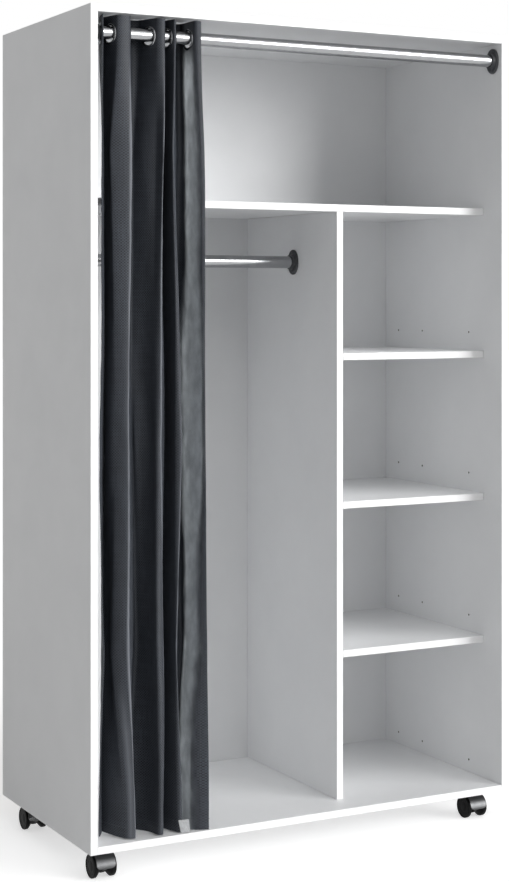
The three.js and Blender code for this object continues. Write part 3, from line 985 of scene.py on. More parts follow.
class Pattern(Nodes):
    """A Geometry Nodes tree with named inputs."""

    def __init__(self, name: str, **kinds: str) -> None:
        """Starts a tree that takes and gives a geometry.

        Args:
            name: The tree's name.
            **kinds: The kind of each further input.
        """
        super().__init__(bpy.data.node_groups.new(name, "GeometryNodeTree"))
        face = self.tree.interface
        self.ids = {
            word: face.new_socket(word, in_out="INPUT", socket_type=f"NodeSocket{kind}").identifier
            for word, kind in {"Geometry": "Geometry", **kinds, "Material": "Material"}.items()
        }
        face.new_socket("Geometry", in_out="OUTPUT", socket_type="NodeSocketGeometry")
        self.given = self.add("NodeGroupInput").outputs

    def attribute(self, name: str, kind: str) -> bpy.types.NodeSocket:
        """Reads a named attribute."""
        node = self.add("GeometryNodeInputNamedAttribute", Name=name)
        node.data_type = kind
        return node.outputs["Attribute"]

    def aim(self, axis: str, vector: bpy.types.NodeSocket) -> bpy.types.NodeSocket:
        """The rotation that turns an axis along a vector."""
        node = self.add("FunctionNodeAlignRotationToVector", Vector=vector)
        node.axis = axis
        return node.outputs["Rotation"]

    def scatter(
        self,
        points: bpy.types.NodeSocket,
        instance: bpy.types.NodeSocket,
        rotation: bpy.types.NodeSocket,
        scale: bpy.types.NodeSocket,
    ) -> None:
        """Sets an instance on every point, makes them real, sets their material and gives them.

        Args:
            points: The points.
            instance: The shape that each point gets.
            rotation: How each one is turned.
            scale: The size of each one.
        """
        placed = self.add(
            "GeometryNodeInstanceOnPoints", Points=points, Instance=instance, Rotation=rotation, Scale=scale
        )
        real = self.add("GeometryNodeRealizeInstances", Geometry=placed.outputs[0])
        material = self.given["Material"]
        dressed = self.add("GeometryNodeSetMaterial", Geometry=real.outputs[0], Material=material)
        self.add("NodeGroupOutput", Geometry=dressed.outputs[0])

    def grow(self, seed: bpy.types.Object, values: dict[str, object]) -> bpy.types.Mesh:
        """Runs the tree on an object and returns the plain mesh that it makes.

        Args:
            seed: The object that the tree starts from. It is used up.
            values: A value for each named input.

        Returns:
            The mesh.
        """
        step = seed.modifiers.new(self.tree.name, "NODES")
        step.node_group = self.tree
        for name, value in values.items():
            step[self.ids[name]] = value
        bpy.context.view_layer.update()
        view = bpy.context.evaluated_depsgraph_get()
        mesh = bpy.data.meshes.new_from_object(seed.evaluated_get(view))
        seed.modifiers.clear()
        bpy.data.objects.remove(seed)
        return mesh


class Copies(Pattern):
    """Sets one shape at many points, each turned so that its Z looks along the point's facing."""

    def __init__(self) -> None:
        """Builds the tree."""
        super().__init__("set_copies", Shape="Object", Size="Float")
        spin = self.attribute("spin", "FLOAT")
        about = self.add("FunctionNodeAxisAngleToRotation", Axis=(0.0, 0.0, 1.0), Angle=spin)
        turn = self.add(
            "FunctionNodeRotateRotation",
            Rotation=self.aim("Z", self.attribute("facing", "FLOAT_VECTOR")),
            Rotate_By=about.outputs["Rotation"],
        )
        turn.rotation_space = "LOCAL"
        shape = self.add("GeometryNodeObjectInfo", Object=self.given["Shape"])
        points = self.add("GeometryNodeMeshToPoints", Mesh=self.given["Geometry"])
        self.scatter(
            points.outputs[0], shape.outputs["Geometry"], turn.outputs["Rotation"], self.given["Size"]
        )

    def set(
        self,
        shape: Solid,
        places: Sequence[Place],
        material: bpy.types.Material,
        size: float = 1.0,
    ) -> Solid:
        """Sets copies of a shape. The shape is used up.

        Args:
            shape: The shape, with its face along its own Z.
            places: A place, a facing and a spin in radians for each copy.
            material: The copies' material.
            size: The copies' scale.

        Returns:
            All the copies in one mesh.
        """
        mesh = bpy.data.meshes.new("places")
        mesh.from_pydata([place for place, _, _ in places], [], [])
        mesh.attributes.new("facing", "FLOAT_VECTOR", "POINT").data.foreach_set(
            "vector", [c for _, facing, _ in places for c in facing]
        )
        mesh.attributes.new("spin", "FLOAT", "POINT").data.foreach_set("value", [s for _, _, s in places])
        seed = linked("places", mesh)
        made = self.grow(seed, {"Shape": shape.body, "Size": size, "Material": material})
        bpy.data.objects.remove(shape.body)
        return Solid(made)


class Stitching(Pattern):
    """Lays stitches along lines, each turned along its line."""

    def __init__(self) -> None:
        """Builds the tree."""
        super().__init__("lay_stitches", Pitch="Float", Stitch="Vector")
        line = self.add("GeometryNodeMeshToCurve", Mesh=self.given["Geometry"])
        even = self.tree.nodes.new("GeometryNodeResampleCurve")
        even.mode = "LENGTH"
        self.feed(even.inputs["Curve"], line.outputs[0])
        self.feed(even.inputs["Length"], self.given["Pitch"])
        turn = self.aim("X", self.add("GeometryNodeInputTangent").outputs[0])
        bead = self.add("GeometryNodeMeshUVSphere", Segments=6, Rings=4, Radius=1.0)
        self.scatter(even.outputs[0], bead.outputs[0], turn, self.given["Stitch"])

    def sew(
        self,
        lines: Sequence[Sequence[Point]],
        material: bpy.types.Material,
        pitch: float = 0.0036,
        stitch: Point = (0.0014, 0.00028, 0.00028),
    ) -> Solid:
        """Sews along lines.

        Args:
            lines: The points of each line.
            material: The thread.
            pitch: From one stitch to the next.
            stitch: Half a stitch's length, width and height.

        Returns:
            All the stitches in one mesh.
        """
        vertices: list[Point] = []
        edges: list[tuple[int, int]] = []
        for line in lines:
            first = len(vertices)
            vertices.extend(tuple(p) for p in line)
            edges.extend((first + i, first + i + 1) for i in range(len(line) - 1))
        mesh = bpy.data.meshes.new("seams")
        mesh.from_pydata(vertices, edges, [])
        values = {"Pitch": pitch, "Stitch": stitch, "Material": material}
        return Solid(self.grow(linked("seams", mesh), values))


# ---------------------------------------------------------------------------- the object


@dataclass
class Palette:
    """Every material of the wardrobe, made once."""

    board: bpy.types.Material
    edge: bpy.types.Material
    core: bpy.types.Material
    fibre: bpy.types.Material
    backing: bpy.types.Material
    chrome: bpy.types.Material
    ring: bpy.types.Material
    anthracite: bpy.types.Material
    screw: bpy.types.Material
    steel: bpy.types.Material
    wheel: bpy.types.Material
    frame: bpy.types.Material
    hood: bpy.types.Material
    beech: bpy.types.Material
    cloth: bpy.types.Material
    tape: bpy.types.Material
    thread: bpy.types.Material
    label_thread: bpy.types.Material

    @classmethod
    def made(cls) -> Palette:
        """Makes the materials.

        Returns:
            The palette.
        """
        return cls(
            board=BoardFinish().make(),
            edge=EdgeFinish().make(),
            core=ShadedCoreFinish().make(),
            fibre=FibreboardFinish().make(),
            backing=BoardFinish(
                "back_lacquer", (0.845, 0.852, 0.862), (0.81, 0.818, 0.83), 0.5, 900.0
            ).make(),
            chrome=ChromeFinish().make(),
            ring=ChromeFinish(
                "eyelet_metal", (0.36, 0.365, 0.375), (0.27, 0.275, 0.285), 0.18, (300.0, 300.0, 300.0)
            ).make(),
            anthracite=MouldedFinish("anthracite", (0.05, 0.052, 0.057), (0.115, 0.118, 0.125), 0.42).make(),
            screw=SteelFinish("screw_steel", (0.16, 0.165, 0.175), (0.10, 0.10, 0.105)).make(),
            steel=SteelFinish().make(),
            wheel=MouldedFinish(
                "castor_wheel", (0.003, 0.003, 0.0033), (0.009, 0.009, 0.0095), 0.45, shine=0.09
            ).make(),
            frame=MouldedFinish(
                "castor_frame", (0.004, 0.004, 0.0043), (0.012, 0.012, 0.0125), 0.4, shine=0.14
            ).make(),
            hood=MouldedFinish(
                "castor_hood", (0.085, 0.086, 0.088), (0.065, 0.066, 0.068), 0.34, 3200.0, 0.00001, metal=0.9
            ).make(),
            beech=BeechFinish().make(),
            cloth=ClothFinish().make(),
            tape=TapeFinish().make(),
            thread=ThreadFinish().make(),
            label_thread=ThreadFinish("label_thread", (0.5, 0.5, 0.49), (0.62, 0.62, 0.6)).make(),
        )


@dataclass
class Carcass:
    """The boards: two sides, top, bottom, full-width shelf, divider, three shelves and the back."""

    palette: Palette
    arris: float = 0.0008
    near: float = 0.00002
    banded: int = 1
    raw: int = 2

    def outer_edges(self, work: bmesh.types.BMesh, low: Vector, high: Vector) -> list[bmesh.types.BMEdge]:
        """The edges along the twelve arrises of a board's box.

        Args:
            work: The board's mesh.
            low: The box's lowest corner.
            high: The box's highest corner.

        Returns:
            The edges.
        """
        def planes(point: Vector) -> set[int]:
            """The faces of the box that a point lies on."""
            found = {a for a in range(3) if abs(point[a] - low[a]) < self.near}
            return found | {a + 3 for a in range(3) if abs(point[a] - high[a]) < self.near}

        return [e for e in work.edges if len(planes(e.verts[0].co) & planes(e.verts[1].co)) >= 2]

    def board(self, node: str, thin: int, slot: str = "melamine") -> bpy.types.Object:
        """A board from its node: eased arrises, banded edges and raw holes.

        Args:
            node: The node's name.
            thin: The axis of the board's thickness.
            slot: The record's material slot.

        Returns:
            The piece.
        """
        solid = Solid.of_node(node)
        low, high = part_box(node)
        work = bmesh.new()
        work.from_mesh(solid.body.data)
        edges = self.outer_edges(work, low, high)
        bmesh.ops.bevel(
            work, geom=edges, offset=self.arris, segments=3, profile=0.5, affect="EDGES", clamp_overlap=True
        )
        work.normal_update()
        for face in work.faces:
            centre = face.calc_center_median()
            gaps = [min(centre[a] - low[a], high[a] - centre[a]) for a in range(3)]
            outside = [a for a in range(3) if gaps[a] < self.arris * 1.1]
            if not outside:
                # inner faces of holes and grooves take the chipboard colour, darkened as painted shade
                face.material_index = self.raw
            elif thin not in outside or abs(face.normal[thin]) < 0.9:
                face.material_index = self.banded
        work.to_mesh(solid.body.data)
        work.free()
        materials = [self.palette.board, self.palette.edge, self.palette.core]
        return solid.named(f"{node}_board", materials, "carcass", slot, [node])

    def back(self) -> bpy.types.Object:
        """The thin back board: white lacquer inside and raw fibres behind."""
        solid = Solid.of_node("back_panel").ease(0.0003)
        for face in solid.body.data.polygons:
            face.material_index = 0 if face.normal.y < -0.5 else 1
        materials = [self.palette.backing, self.palette.fibre]
        return solid.named("back_board", materials, "carcass", "backboard", ["back_panel"])

    def dress_dowels(self) -> None:
        """Gives the hidden dowels their wood."""
        for name, node in frame["nodes"].items():
            if name.startswith("dowel_"):
                node.data.materials.clear()
                node.data.materials.append(self.palette.beech)

    def build(self) -> None:
        """Builds every board."""
        for node in ("side_panel_left", "side_panel_right", "divider_panel"):
            self.board(node, 0)
        for node in ("top_panel", "bottom_panel", "top_shelf", "shelf_1", "shelf_2", "shelf_3"):
            self.board(node, 2)
        self.back()
        self.dress_dowels()


@dataclass
class Tube:
    """A round chrome tube along X with an oval flange and two screws at each end."""

    palette: Palette
    copies: Copies
    node: str
    radius: float = 0.014
    wall: float = 0.0012
    flange_half: tuple[float, float] = (0.022, 0.029)
    flange_plate: float = 0.005
    socket: float = 0.0174
    bore: float = 0.0144
    floor: float = 0.0015
    mouth: float = 0.012
    screw_offset: float = 0.0235
    screw_radius: float = 0.0036
    screw_height: float = 0.0011
    screw_bore: float = 0.0023
    screw_sink: float = 0.0042
    sides: int = 96

    def centre(self) -> tuple[float, float]:
        """The tube's Y and Z."""
        low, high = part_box(self.node)
        return (low.y + high.y) / 2, (low.z + high.z) / 2

    def tube(self) -> bpy.types.Object:
        """The hollow tube, with its cut ends eased.

        Returns:
            The piece.
        """
        low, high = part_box(self.node)
        y, z = self.centre()
        bore = self.radius - self.wall
        profile = rounded(
            [(bore, low.x), (self.radius, low.x), (self.radius, high.x), (bore, high.x)], 0.0003, 2
        )
        solid = Solid.turned(profile, self.sides, Axis.X, ring=True).moved(y=y, z=z)
        return solid.named(f"{self.node}_tube", [self.palette.chrome], "carcass", "chrome", [self.node])

    def ring(self, half_y: float, half_z: float, x: float) -> list[Point]:
        """A round or oval ring of the flange."""
        turns = [math.tau * i / self.sides for i in range(self.sides)]
        return [(x, half_y * math.cos(t), half_z * math.sin(t)) for t in turns]

    def flange(self, side: Side) -> bpy.types.Object:
        """One flange: an oval plate that sweeps up into a socket, with two screw holes.

        Args:
            side: The end of the tube.

        Returns:
            The piece.
        """
        half_y, half_z = self.flange_half
        plate, mouth, socket, bore = self.flange_plate, self.mouth, self.socket, self.bore
        rim = ((0.0, -plate), (0.0, -0.0022), (0.0003, -0.0012), (0.0010, -0.0004), (0.0021, 0.0))
        cup = (
            (socket + 0.0016, plate), (socket + 0.0006, plate + 0.0004), (socket, plate + 0.0014),
            (socket, mouth - 0.0008), (socket - 0.0003, mouth - 0.0002), (socket - 0.0009, mouth),
            (bore + 0.0006, mouth), (bore, mouth - 0.0006), (bore, self.floor),
        )
        rings = [self.ring(half_y - inset, half_z - inset, plate + x) for inset, x in rim]
        solid = Solid.stacked(rings + [self.ring(radius, radius, x) for radius, x in cup])
        sink = [
            (0.0, -0.001), (self.screw_bore, -0.001), (self.screw_bore, plate - 0.0016),
            (self.screw_sink, plate + 0.0004), (0.0, plate + 0.0004),
        ]
        for way in (-1, 1):
            solid.cut(Solid.turned(sink, 32, Axis.X).moved(z=way * self.screw_offset))
        y, z = self.centre()
        node = f"{self.node}_flange_{side.name.lower()}"
        low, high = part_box(node)
        wall, turn = (low.x, 0.0) if side is Side.LEFT else (high.x, math.pi)
        solid.moved(wall, y, z, turn)
        return solid.named(node + "_cup", [self.palette.anthracite], "carcass", "anthracite", [node])

    def screws(self) -> bpy.types.Object:
        """The four countersunk screws of the two flanges.

        Returns:
            The piece.
        """
        y, z = self.centre()
        places = []
        for side in Side:
            low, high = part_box(f"{self.node}_flange_{side.name.lower()}")
            face = (low.x + self.flange_plate) if side is Side.LEFT else (high.x - self.flange_plate)
            for way in (-1, 1):
                place = (face + side.value * 0.0004, y, z + way * self.screw_offset)
                places.append((place, (-float(side.value), 0.0, 0.0), 0.4 + way * 0.7 + side.value))
        head = screw_head(self.screw_radius, self.screw_height)
        made = self.copies.set(head, places, self.palette.screw)
        return made.named(f"{self.node}_screws", [self.palette.screw], "carcass", "anthracite")

    def build(self) -> None:
        """Builds the tube, its flanges and their screws."""
        self.tube()
        for side in Side:
            self.flange(side)
        self.screws()


def screw_head(radius: float, height: float) -> Solid:
    """A low domed screw head with a cross recess. It looks along Z and its rim lies on Z = 0.

    Args:
        radius: The head's radius.
        height: How high the dome stands.

    Returns:
        The head.
    """
    profile = [(0.0, -height), (radius * 0.6, -height), (radius, -height * 0.15), (radius, 0.0)]
    for i in range(1, 7):
        t = math.pi / 2 * i / 6
        profile.append((radius * math.cos(t) if i < 6 else 0.0, height * math.sin(t) * 0.7))
    head = Solid.turned(profile, 24)
    half, width, deep = radius * 0.62, radius * 0.12, height * 0.55
    foot, foot_half = height * 0.7 - deep * 1.6, half * 0.55
    recess = [(-half, height), (half, height), (foot_half, foot), (-foot_half, foot)]
    for turn in (0.0, math.pi / 2):
        head.cut(Solid.across(recess, width * 2).moved(turn=turn))
    return head


@dataclass(frozen=True)
class FoldPlan:
    """The gathered curtain seen from above, at one height. Every tuple has a value for each panel."""

    panel_shares: tuple[float, ...]
    leans: tuple[float, ...]
    depth_shares: tuple[float, ...] = (0.5,) * 8
    reach_shares: tuple[float, ...] = (1.0,) * 8
    bows: tuple[float, ...] = (0.0,) * 8
    flap_share: float = 0.07


ROD_PLAN = FoldPlan(
    (0.0, 0.1, 0.325, 0.542, 0.685, 0.75, 0.845, 1.0),
    (-14.0, 16.0, -22.0, 20.0, -6.0, 12.0, -22.0, 5.0),
)
UPPER_PLAN = FoldPlan(
    (0.007, 0.06, 0.295, 0.521, 0.689, 0.75, 0.858, 1.017),
    (-27.0, 0.0, -10.0, 47.0, -14.0, 2.0, -33.0, 17.0),
    (0.42, 0.53, 0.32, 0.64, 0.45, 0.45, 0.53, 0.4),
    (0.9, 0.74, 0.72, 1.03, 1.1, 1.14, 0.85, 0.81),
    (-0.0007, -0.0075, -0.0013, 0.0037, -0.0014, -0.0006, -0.0008, 0.004),
    0.067,
)
MIDDLE_PLAN = FoldPlan(
    (0.0, 0.123, 0.336, 0.499, 0.683, 0.784, 0.864, 1.018),
    (-31.0, 13.0, -30.0, 33.0, -30.0, 4.0, -4.0, 41.0),
    (0.39, 0.53, 0.46, 0.46, 0.43, 0.47, 0.53, 0.41),
    (1.05, 0.81, 1.16, 0.98, 1.08, 0.81, 1.18, 0.9),
    (-0.0001, 0.0088, 0.0025, -0.0081, -0.003, -0.0009, 0.0026, 0.0042),
    0.046,
)
LOWER_PLAN = FoldPlan(
    (0.018, 0.094, 0.318, 0.521, 0.66, 0.771, 0.842, 1.024),
    (-18.0, 1.0, -32.0, 15.0, -1.0, 17.0, -20.0, 25.0),
    (0.48, 0.66, 0.4, 0.43, 0.55, 0.49, 0.41, 0.48),
    (0.99, 0.66, 1.01, 1.09, 1.02, 0.65, 0.66, 0.77),
    (0.0018, -0.0082, -0.0018, -0.0023, -0.0011, 0.0005, -0.002, 0.0071),
    0.102,
)
HEM_PLAN = FoldPlan(
    (0.045, 0.162, 0.338, 0.5, 0.668, 0.772, 0.872, 0.956),
    (-29.7, 30.1, -3.9, 37.8, 1.4, 28.1, 8.9, 28.0),
    (0.89, 0.64, 0.54, 0.61, 0.52, 0.54, 0.46, 0.54),
    (0.45, 0.98, 0.98, 1.45, 0.89, 1.08, 0.72, 0.78),
    (0.0, 0.0, 0.0, -0.008, 0.0, 0.0, 0.0, 0.0),
    0.17,
)


@dataclass(frozen=True)
class PanelRun:
    """One panel of a plan: its ends, the point that bows it, and its headings out of both ends."""

    near: np.ndarray
    far: np.ndarray
    bow: np.ndarray
    forwards: np.ndarray
    backwards: np.ndarray
    reach: float


@dataclass(frozen=True)
class Wave:
    """A long sway of the cloth: its height, how it runs down and across, and where it starts."""

    height: float
    down: float
    across: float
    start: float

    def at(self, phase: np.ndarray, drop: float) -> np.ndarray:
        """The sway of each column at a share of the drop."""
        return self.height * np.sin(self.down * drop + self.across * phase + self.start)


@dataclass(frozen=True)
class Crease:
    """Small creases: their height, and how finely they run across, askew and down."""

    height: float
    across: float
    askew: float
    down: float
    seed: float

    def at(self, place: float, drop: float) -> float:
        """The crease at a place along the width and a share of the drop."""
        spot = (place * self.across + drop * self.askew, drop * self.down, self.seed)
        return self.height * noise.noise(Vector(spot))


@dataclass
class Curtain:
    """The gathered eyelet curtain: one hemmed sheet, its eyelets, its seams and a bare label."""

    palette: Palette
    copies: Copies
    stitching: Stitching
    plans: tuple[FoldPlan, ...] = (ROD_PLAN, UPPER_PLAN, MIDDLE_PLAN, LOWER_PLAN, HEM_PLAN)
    plan_drops: tuple[float, ...] = (0.0, 0.05, 0.154, 0.523, 0.773, 0.947, 1.0)
    plan_numbers: tuple[float, ...] = (0.0, 0.0, 1.0, 2.0, 3.0, 4.0, 4.0)
    first_eyelet: float = -0.483
    stack: float = 0.200
    front: float = -0.259
    fold_depth: float = 0.067
    panel_half: float = 0.0225
    front_reach: float = 0.0085
    back_reach: float = 0.014
    roundness: float = 0.9
    leading_edge: float = 0.006
    flap_set_back: float = 0.004
    top: float = 1.782
    hem: float = 0.077
    hem_lift: tuple[float, float, float] = (0.002, 0.003, 0.003)
    fabric: float = 0.0012
    hemmed: float = 0.0017
    header: float = 0.062
    hem_height: float = 0.026
    side_hem: float = 0.012
    hole: float = 0.0186
    hole_reach: float = 0.006
    hole_ragged: float = 0.003
    seam_inset: float = 0.003
    side_seam_inset: float = 0.0025
    seam_proud: float = 0.00005
    eyelet_z: float = 1.7451
    hem_lift_reach: float = 0.25
    side_lift_share: float = 0.35
    first_fold_share: float = 0.2
    fine_top: float = 0.072
    fine_hem: float = 0.03
    row_counts: tuple[int, int, int] = (37, 126, 9)
    held_drop: float = 0.05
    loosening_drop: float = 0.12
    held_creases: float = 0.15
    blend_drop: float = 0.035
    wave_rate: float = 10.5
    waves_x: tuple[Wave, ...] = (Wave(0.0016, 7.0, 1.0, 0.0), Wave(0.0008, 17.0, 1.7, 1.0))
    waves_y: tuple[Wave, ...] = (Wave(0.0009, 9.0, 1.3, 2.0),)
    creases: tuple[Crease, ...] = (
        Crease(0.0011, 24.0, 0.0, 9.0, 3.1),
        Crease(0.0006, 55.0, 0.0, 40.0, 7.7),
        Crease(0.0004, 15.0, 30.0, 95.0, 1.3),
    )
    eyelet_bore: float = 0.017
    eyelet_rim: float = 0.022
    eyelet_lip: float = 0.0011
    eyelet_seat: float = 0.0009
    label_turn: float = 97.0
    label_at: tuple[float, float] = (-0.3060, -0.2507)
    label_half: float = 0.0113
    label_gap: float = 0.0007
    label_curl: float = 0.0016
    label_cup: float = 0.0005
    label_drift: float = 0.0036
    label_stand: float = 0.0016
    label_thickness: float = 0.00025
    label_taper: float = 0.09
    label_swell: tuple[float, float, float] = (0.5, 0.9, 1.04)
    label_foot: float = 0.0006
    label_hang: float = 0.97
    label_sunk: float = 0.0006
    label_layer_gap: float = 0.05
    label_seam: float = 0.0035
    label_seam_reach: float = 0.92
    label_seam_proud: float = 0.0009
    label_pitch: float = 0.0026
    label_stitch: tuple[float, float, float] = (0.001, 0.00022, 0.00022)
    label_rows: int = 12
    panel_steps: int = 12
    fold_steps: int = 14

    def panel(self, plan: FoldPlan, i: int) -> PanelRun:
        """One panel of a plan.

        Args:
            plan: The plan.
            i: The panel's number.

        Returns:
            Where the panel runs.
        """
        lean = math.radians(plan.leans[i])
        back = np.array([-math.sin(lean), math.cos(lean)])
        left = np.array([-math.cos(lean), -math.sin(lean)])
        middle = np.array([
            self.first_eyelet + plan.panel_shares[i] * self.stack,
            self.front + plan.depth_shares[i] * self.fold_depth,
        ])
        half = plan.reach_shares[i] * self.panel_half
        near, far, bow = middle - back * half, middle + back * half, middle + left * 2 * plan.bows[i]
        forwards, backwards = near - bow, far - bow
        return PanelRun(
            near, far, bow,
            forwards / np.linalg.norm(forwards), backwards / np.linalg.norm(backwards),
            plan.reach_shares[i],
        )

    def fold(
        self,
        start: np.ndarray,
        out: np.ndarray,
        reach: float,
        end: np.ndarray,
        back: np.ndarray,
        other: float,
    ) -> np.ndarray:
        """The round fold between two panel ends.

        Args:
            start: Where the fold leaves the first panel.
            out: The first panel's heading.
            reach: How far the fold follows it.
            end: Where the fold meets the next panel.
            back: The next panel's heading, away from itself.
            other: How far the fold follows that.

        Returns:
            The points between the two ends.
        """
        most = self.roundness * float(np.linalg.norm(end - start))
        a, b = start + out * min(reach, most), end + back * min(other, most)
        t = np.linspace(0.0, 1.0, self.fold_steps + 1)[:, None]
        return (1 - t) ** 3 * start + 3 * (1 - t) ** 2 * t * a + 3 * (1 - t) * t**2 * b + t**3 * end

    def outline(self, plan: FoldPlan) -> np.ndarray:
        """The points of a plan from the left edge to the right edge.

        Args:
            plan: The plan.

        Returns:
            A row for each point.
        """
        t = np.linspace(0.0, 1.0, self.panel_steps + 1)[:, None]
        runs = [self.panel(plan, i) for i in range(len(plan.leans))]
        first = runs[0]
        edge = first.near + first.forwards * first.reach * self.leading_edge
        points = [edge + (first.near - edge) * np.linspace(0.0, 1.0, 4)[:-1, None]]
        for i, run in enumerate(runs):
            backwards = i % 2 == 0
            start, end = (run.near, run.far) if backwards else (run.far, run.near)
            out = run.backwards if backwards else run.forwards
            reach = self.back_reach if backwards else self.front_reach
            points.append(((1 - t) ** 2 * start + 2 * (1 - t) * t * run.bow + t**2 * end)[:-1])
            if i + 1 < len(runs):
                after = runs[i + 1]
                target = after.far if backwards else after.near
                way = after.backwards if backwards else after.forwards
                points.append(self.fold(end, out, run.reach * reach, target, way, after.reach * reach)[:-1])
            else:
                tip = np.array([end[0] + plan.flap_share * self.stack, self.front + self.flap_set_back])
                points.append(self.fold(end, out, run.reach * reach, tip, np.array([-1.0, 0.0]), reach / 2))
        return np.vstack(points)

    def rows(self) -> np.ndarray:
        """The heights of the mesh's rows, from the top to the hem.

        Returns:
            The heights. They lie closer at the eyelets and at the hem.
        """
        under_eyelets, over_hem = self.top - self.fine_top, self.hem + self.fine_hem
        high, middle, low = self.row_counts
        above = np.linspace(self.top, under_eyelets, high)
        below = np.linspace(under_eyelets, over_hem, middle)[1:]
        last = np.linspace(over_hem, self.hem, low)[1:]
        return np.concatenate([above, below, last])

    def plan_at(self, drop: float) -> float:
        """Which plan holds at a share of the drop, where a part is a blend of two."""
        window = np.clip(drop + np.linspace(-self.blend_drop, self.blend_drop, 9), 0.0, 1.0)
        return float(np.interp(window, self.plan_drops, self.plan_numbers).mean())

    def sway(self, u: np.ndarray, drop: float) -> tuple[np.ndarray, np.ndarray, np.ndarray]:
        """How far each column strays from its plan at one height.

        Args:
            u: The columns' places along the cloth's width.
            drop: The share of the drop.

        Returns:
            The strays along X and along Y, and the creases along the cloth's own normal.
        """
        free = min(1.0, max(0.0, (drop - self.held_drop) / self.loosening_drop))
        free = free * free * (3 - 2 * free)
        x, y = (sum(w.at(self.wave_rate * u, drop) for w in waves) for waves in (self.waves_x, self.waves_y))
        creases = np.array([sum(crease.at(a, drop) for crease in self.creases) for a in u])
        return x * free, y * free, creases * (self.held_creases + (1 - self.held_creases) * free)

    def surface(self) -> Grid:
        """The middle surface of the cloth.

        Returns:
            Points and unit normals by row and column, the columns' places along the width in
            metres and the rows' heights.
        """
        outlines = [self.outline(plan) for plan in self.plans]
        lengths = [np.linalg.norm(np.diff(o, axis=0), axis=1) for o in outlines]
        u = np.concatenate([[0.0], np.cumsum(np.mean(lengths, axis=0))])
        heights = self.rows()
        points = np.zeros((len(heights), len(u), 3))
        for row, z in enumerate(heights):
            drop = (self.top - z) / (self.top - self.hem)
            place = self.plan_at(drop)
            low = min(int(place), len(self.plans) - 2)
            flat = outlines[low] + (outlines[low + 1] - outlines[low]) * (place - low)
            x, y, creases = self.sway(u, drop)
            flat = flat + np.stack([x, y], axis=1)
            along = np.gradient(flat, axis=0)
            along /= np.linalg.norm(along, axis=1)[:, None]
            flat = flat + np.stack([-along[:, 1], along[:, 0]], axis=1) * creases[:, None]
            rise = max(0.0, 1.0 - (z - self.hem) / self.hem_lift_reach) ** 2
            deep = np.clip((flat[:, 1] - self.front) / self.fold_depth, 0.0, 1.1)
            points[row, :, :2] = flat
            side, behind, first = self.hem_lift
            lift = side * np.clip((1.0 - u / u[-1]) / self.side_lift_share, 0.0, 1.0) + behind * deep**2
            in_first = u < self.first_fold_share * u[-1]
            points[row, :, 2] = z + rise * (lift + first * deep**2 * in_first)
        across, down = np.gradient(points, axis=1), np.gradient(points, axis=0)
        normals = np.cross(down, across)
        normals /= np.linalg.norm(normals, axis=2)[:, :, None]
        return points, normals, u, heights

    def eyelets_at(self) -> list[tuple[Point, Point]]:
        """The place and the facing of each eyelet.

        Returns:
            A place and a facing for each one, from the left.
        """
        out = []
        for i, share in enumerate(ROD_PLAN.panel_shares):
            lean = math.radians(ROD_PLAN.leans[i])
            place = (self.first_eyelet + share * self.stack, self.front + self.fold_depth / 2, self.eyelet_z)
            out.append((place, (math.cos(lean), math.sin(lean), 0.0)))
        return out

    def cloth(self, grid: Grid) -> bpy.types.Object:
        """The sheet itself: a fine mesh with its holes cut, thickened, with thicker hems.

        Args:
            grid: The middle surface.

        Returns:
            The piece.
        """
        points, _, u, heights = grid
        rows, columns = points.shape[:2]
        work = bmesh.new()
        uv = work.loops.layers.uv.new("cloth")
        thick = work.verts.layers.deform.verify()
        verts = [[work.verts.new(points[r, c]) for c in range(columns)] for r in range(rows)]
        length = u[-1]
        for r in range(rows):
            for c in range(columns):
                low_hem = heights[r] < self.hem + self.hem_height
                high_hem = heights[r] > self.top - self.header
                side = u[c] < self.side_hem or u[c] > length - self.side_hem
                double = low_hem or high_hem or side
                verts[r][c][thick][0] = 1.0 if double else self.fabric / self.hemmed
        holes = [(Vector(place), Vector(facing)) for place, facing in self.eyelets_at()]
        for r in range(rows - 1):
            for c in range(columns - 1):
                corners = [(r, c), (r + 1, c), (r + 1, c + 1), (r, c + 1)]
                middle = sum((verts[a][b].co for a, b in corners), Vector()) / 4
                if any(self.in_hole(middle, hole) for hole in holes):
                    continue
                face = work.faces.new([verts[a][b] for a, b in corners])
                for loop, (a, b) in zip(face.loops, corners):
                    loop[uv].uv = (u[b], heights[a])
        for vert in [v for v in work.verts if not v.link_faces]:
            work.verts.remove(vert)
        self.true_holes(work, holes)
        mesh = bpy.data.meshes.new("curtain_cloth")
        work.to_mesh(mesh)
        work.free()
        solid = Solid(mesh)
        solid.body.vertex_groups.new(name="hems")
        solid.thicken(self.hemmed, "hems")
        solid.body.vertex_groups.clear()
        return self.sewn(solid, "curtain_cloth", self.palette.cloth, "curtain_cloth", ["curtain"])

    def in_hole(self, point: Vector, hole: tuple[Vector, Vector]) -> bool:
        """True where a point lies in an eyelet's hole."""
        away = point - hole[0]
        along = away.dot(hole[1])
        return abs(along) < self.hole_reach and (away - hole[1] * along).length < self.hole

    def true_holes(self, work: bmesh.types.BMesh, holes: Sequence[tuple[Vector, Vector]]) -> None:
        """Moves the ragged rim of each hole onto a circle.

        Args:
            work: The cloth's mesh.
            holes: The centre and the facing of each hole.
        """
        rim = [v for v in work.verts if v.is_boundary]
        for centre, facing in holes:
            for vert in rim:
                away = vert.co - centre
                along = away.dot(facing)
                radial = away - facing * along
                if abs(along) < self.hole_reach and radial.length < self.hole + self.hole_ragged:
                    vert.co = centre + facing * along + radial.normalized() * self.hole

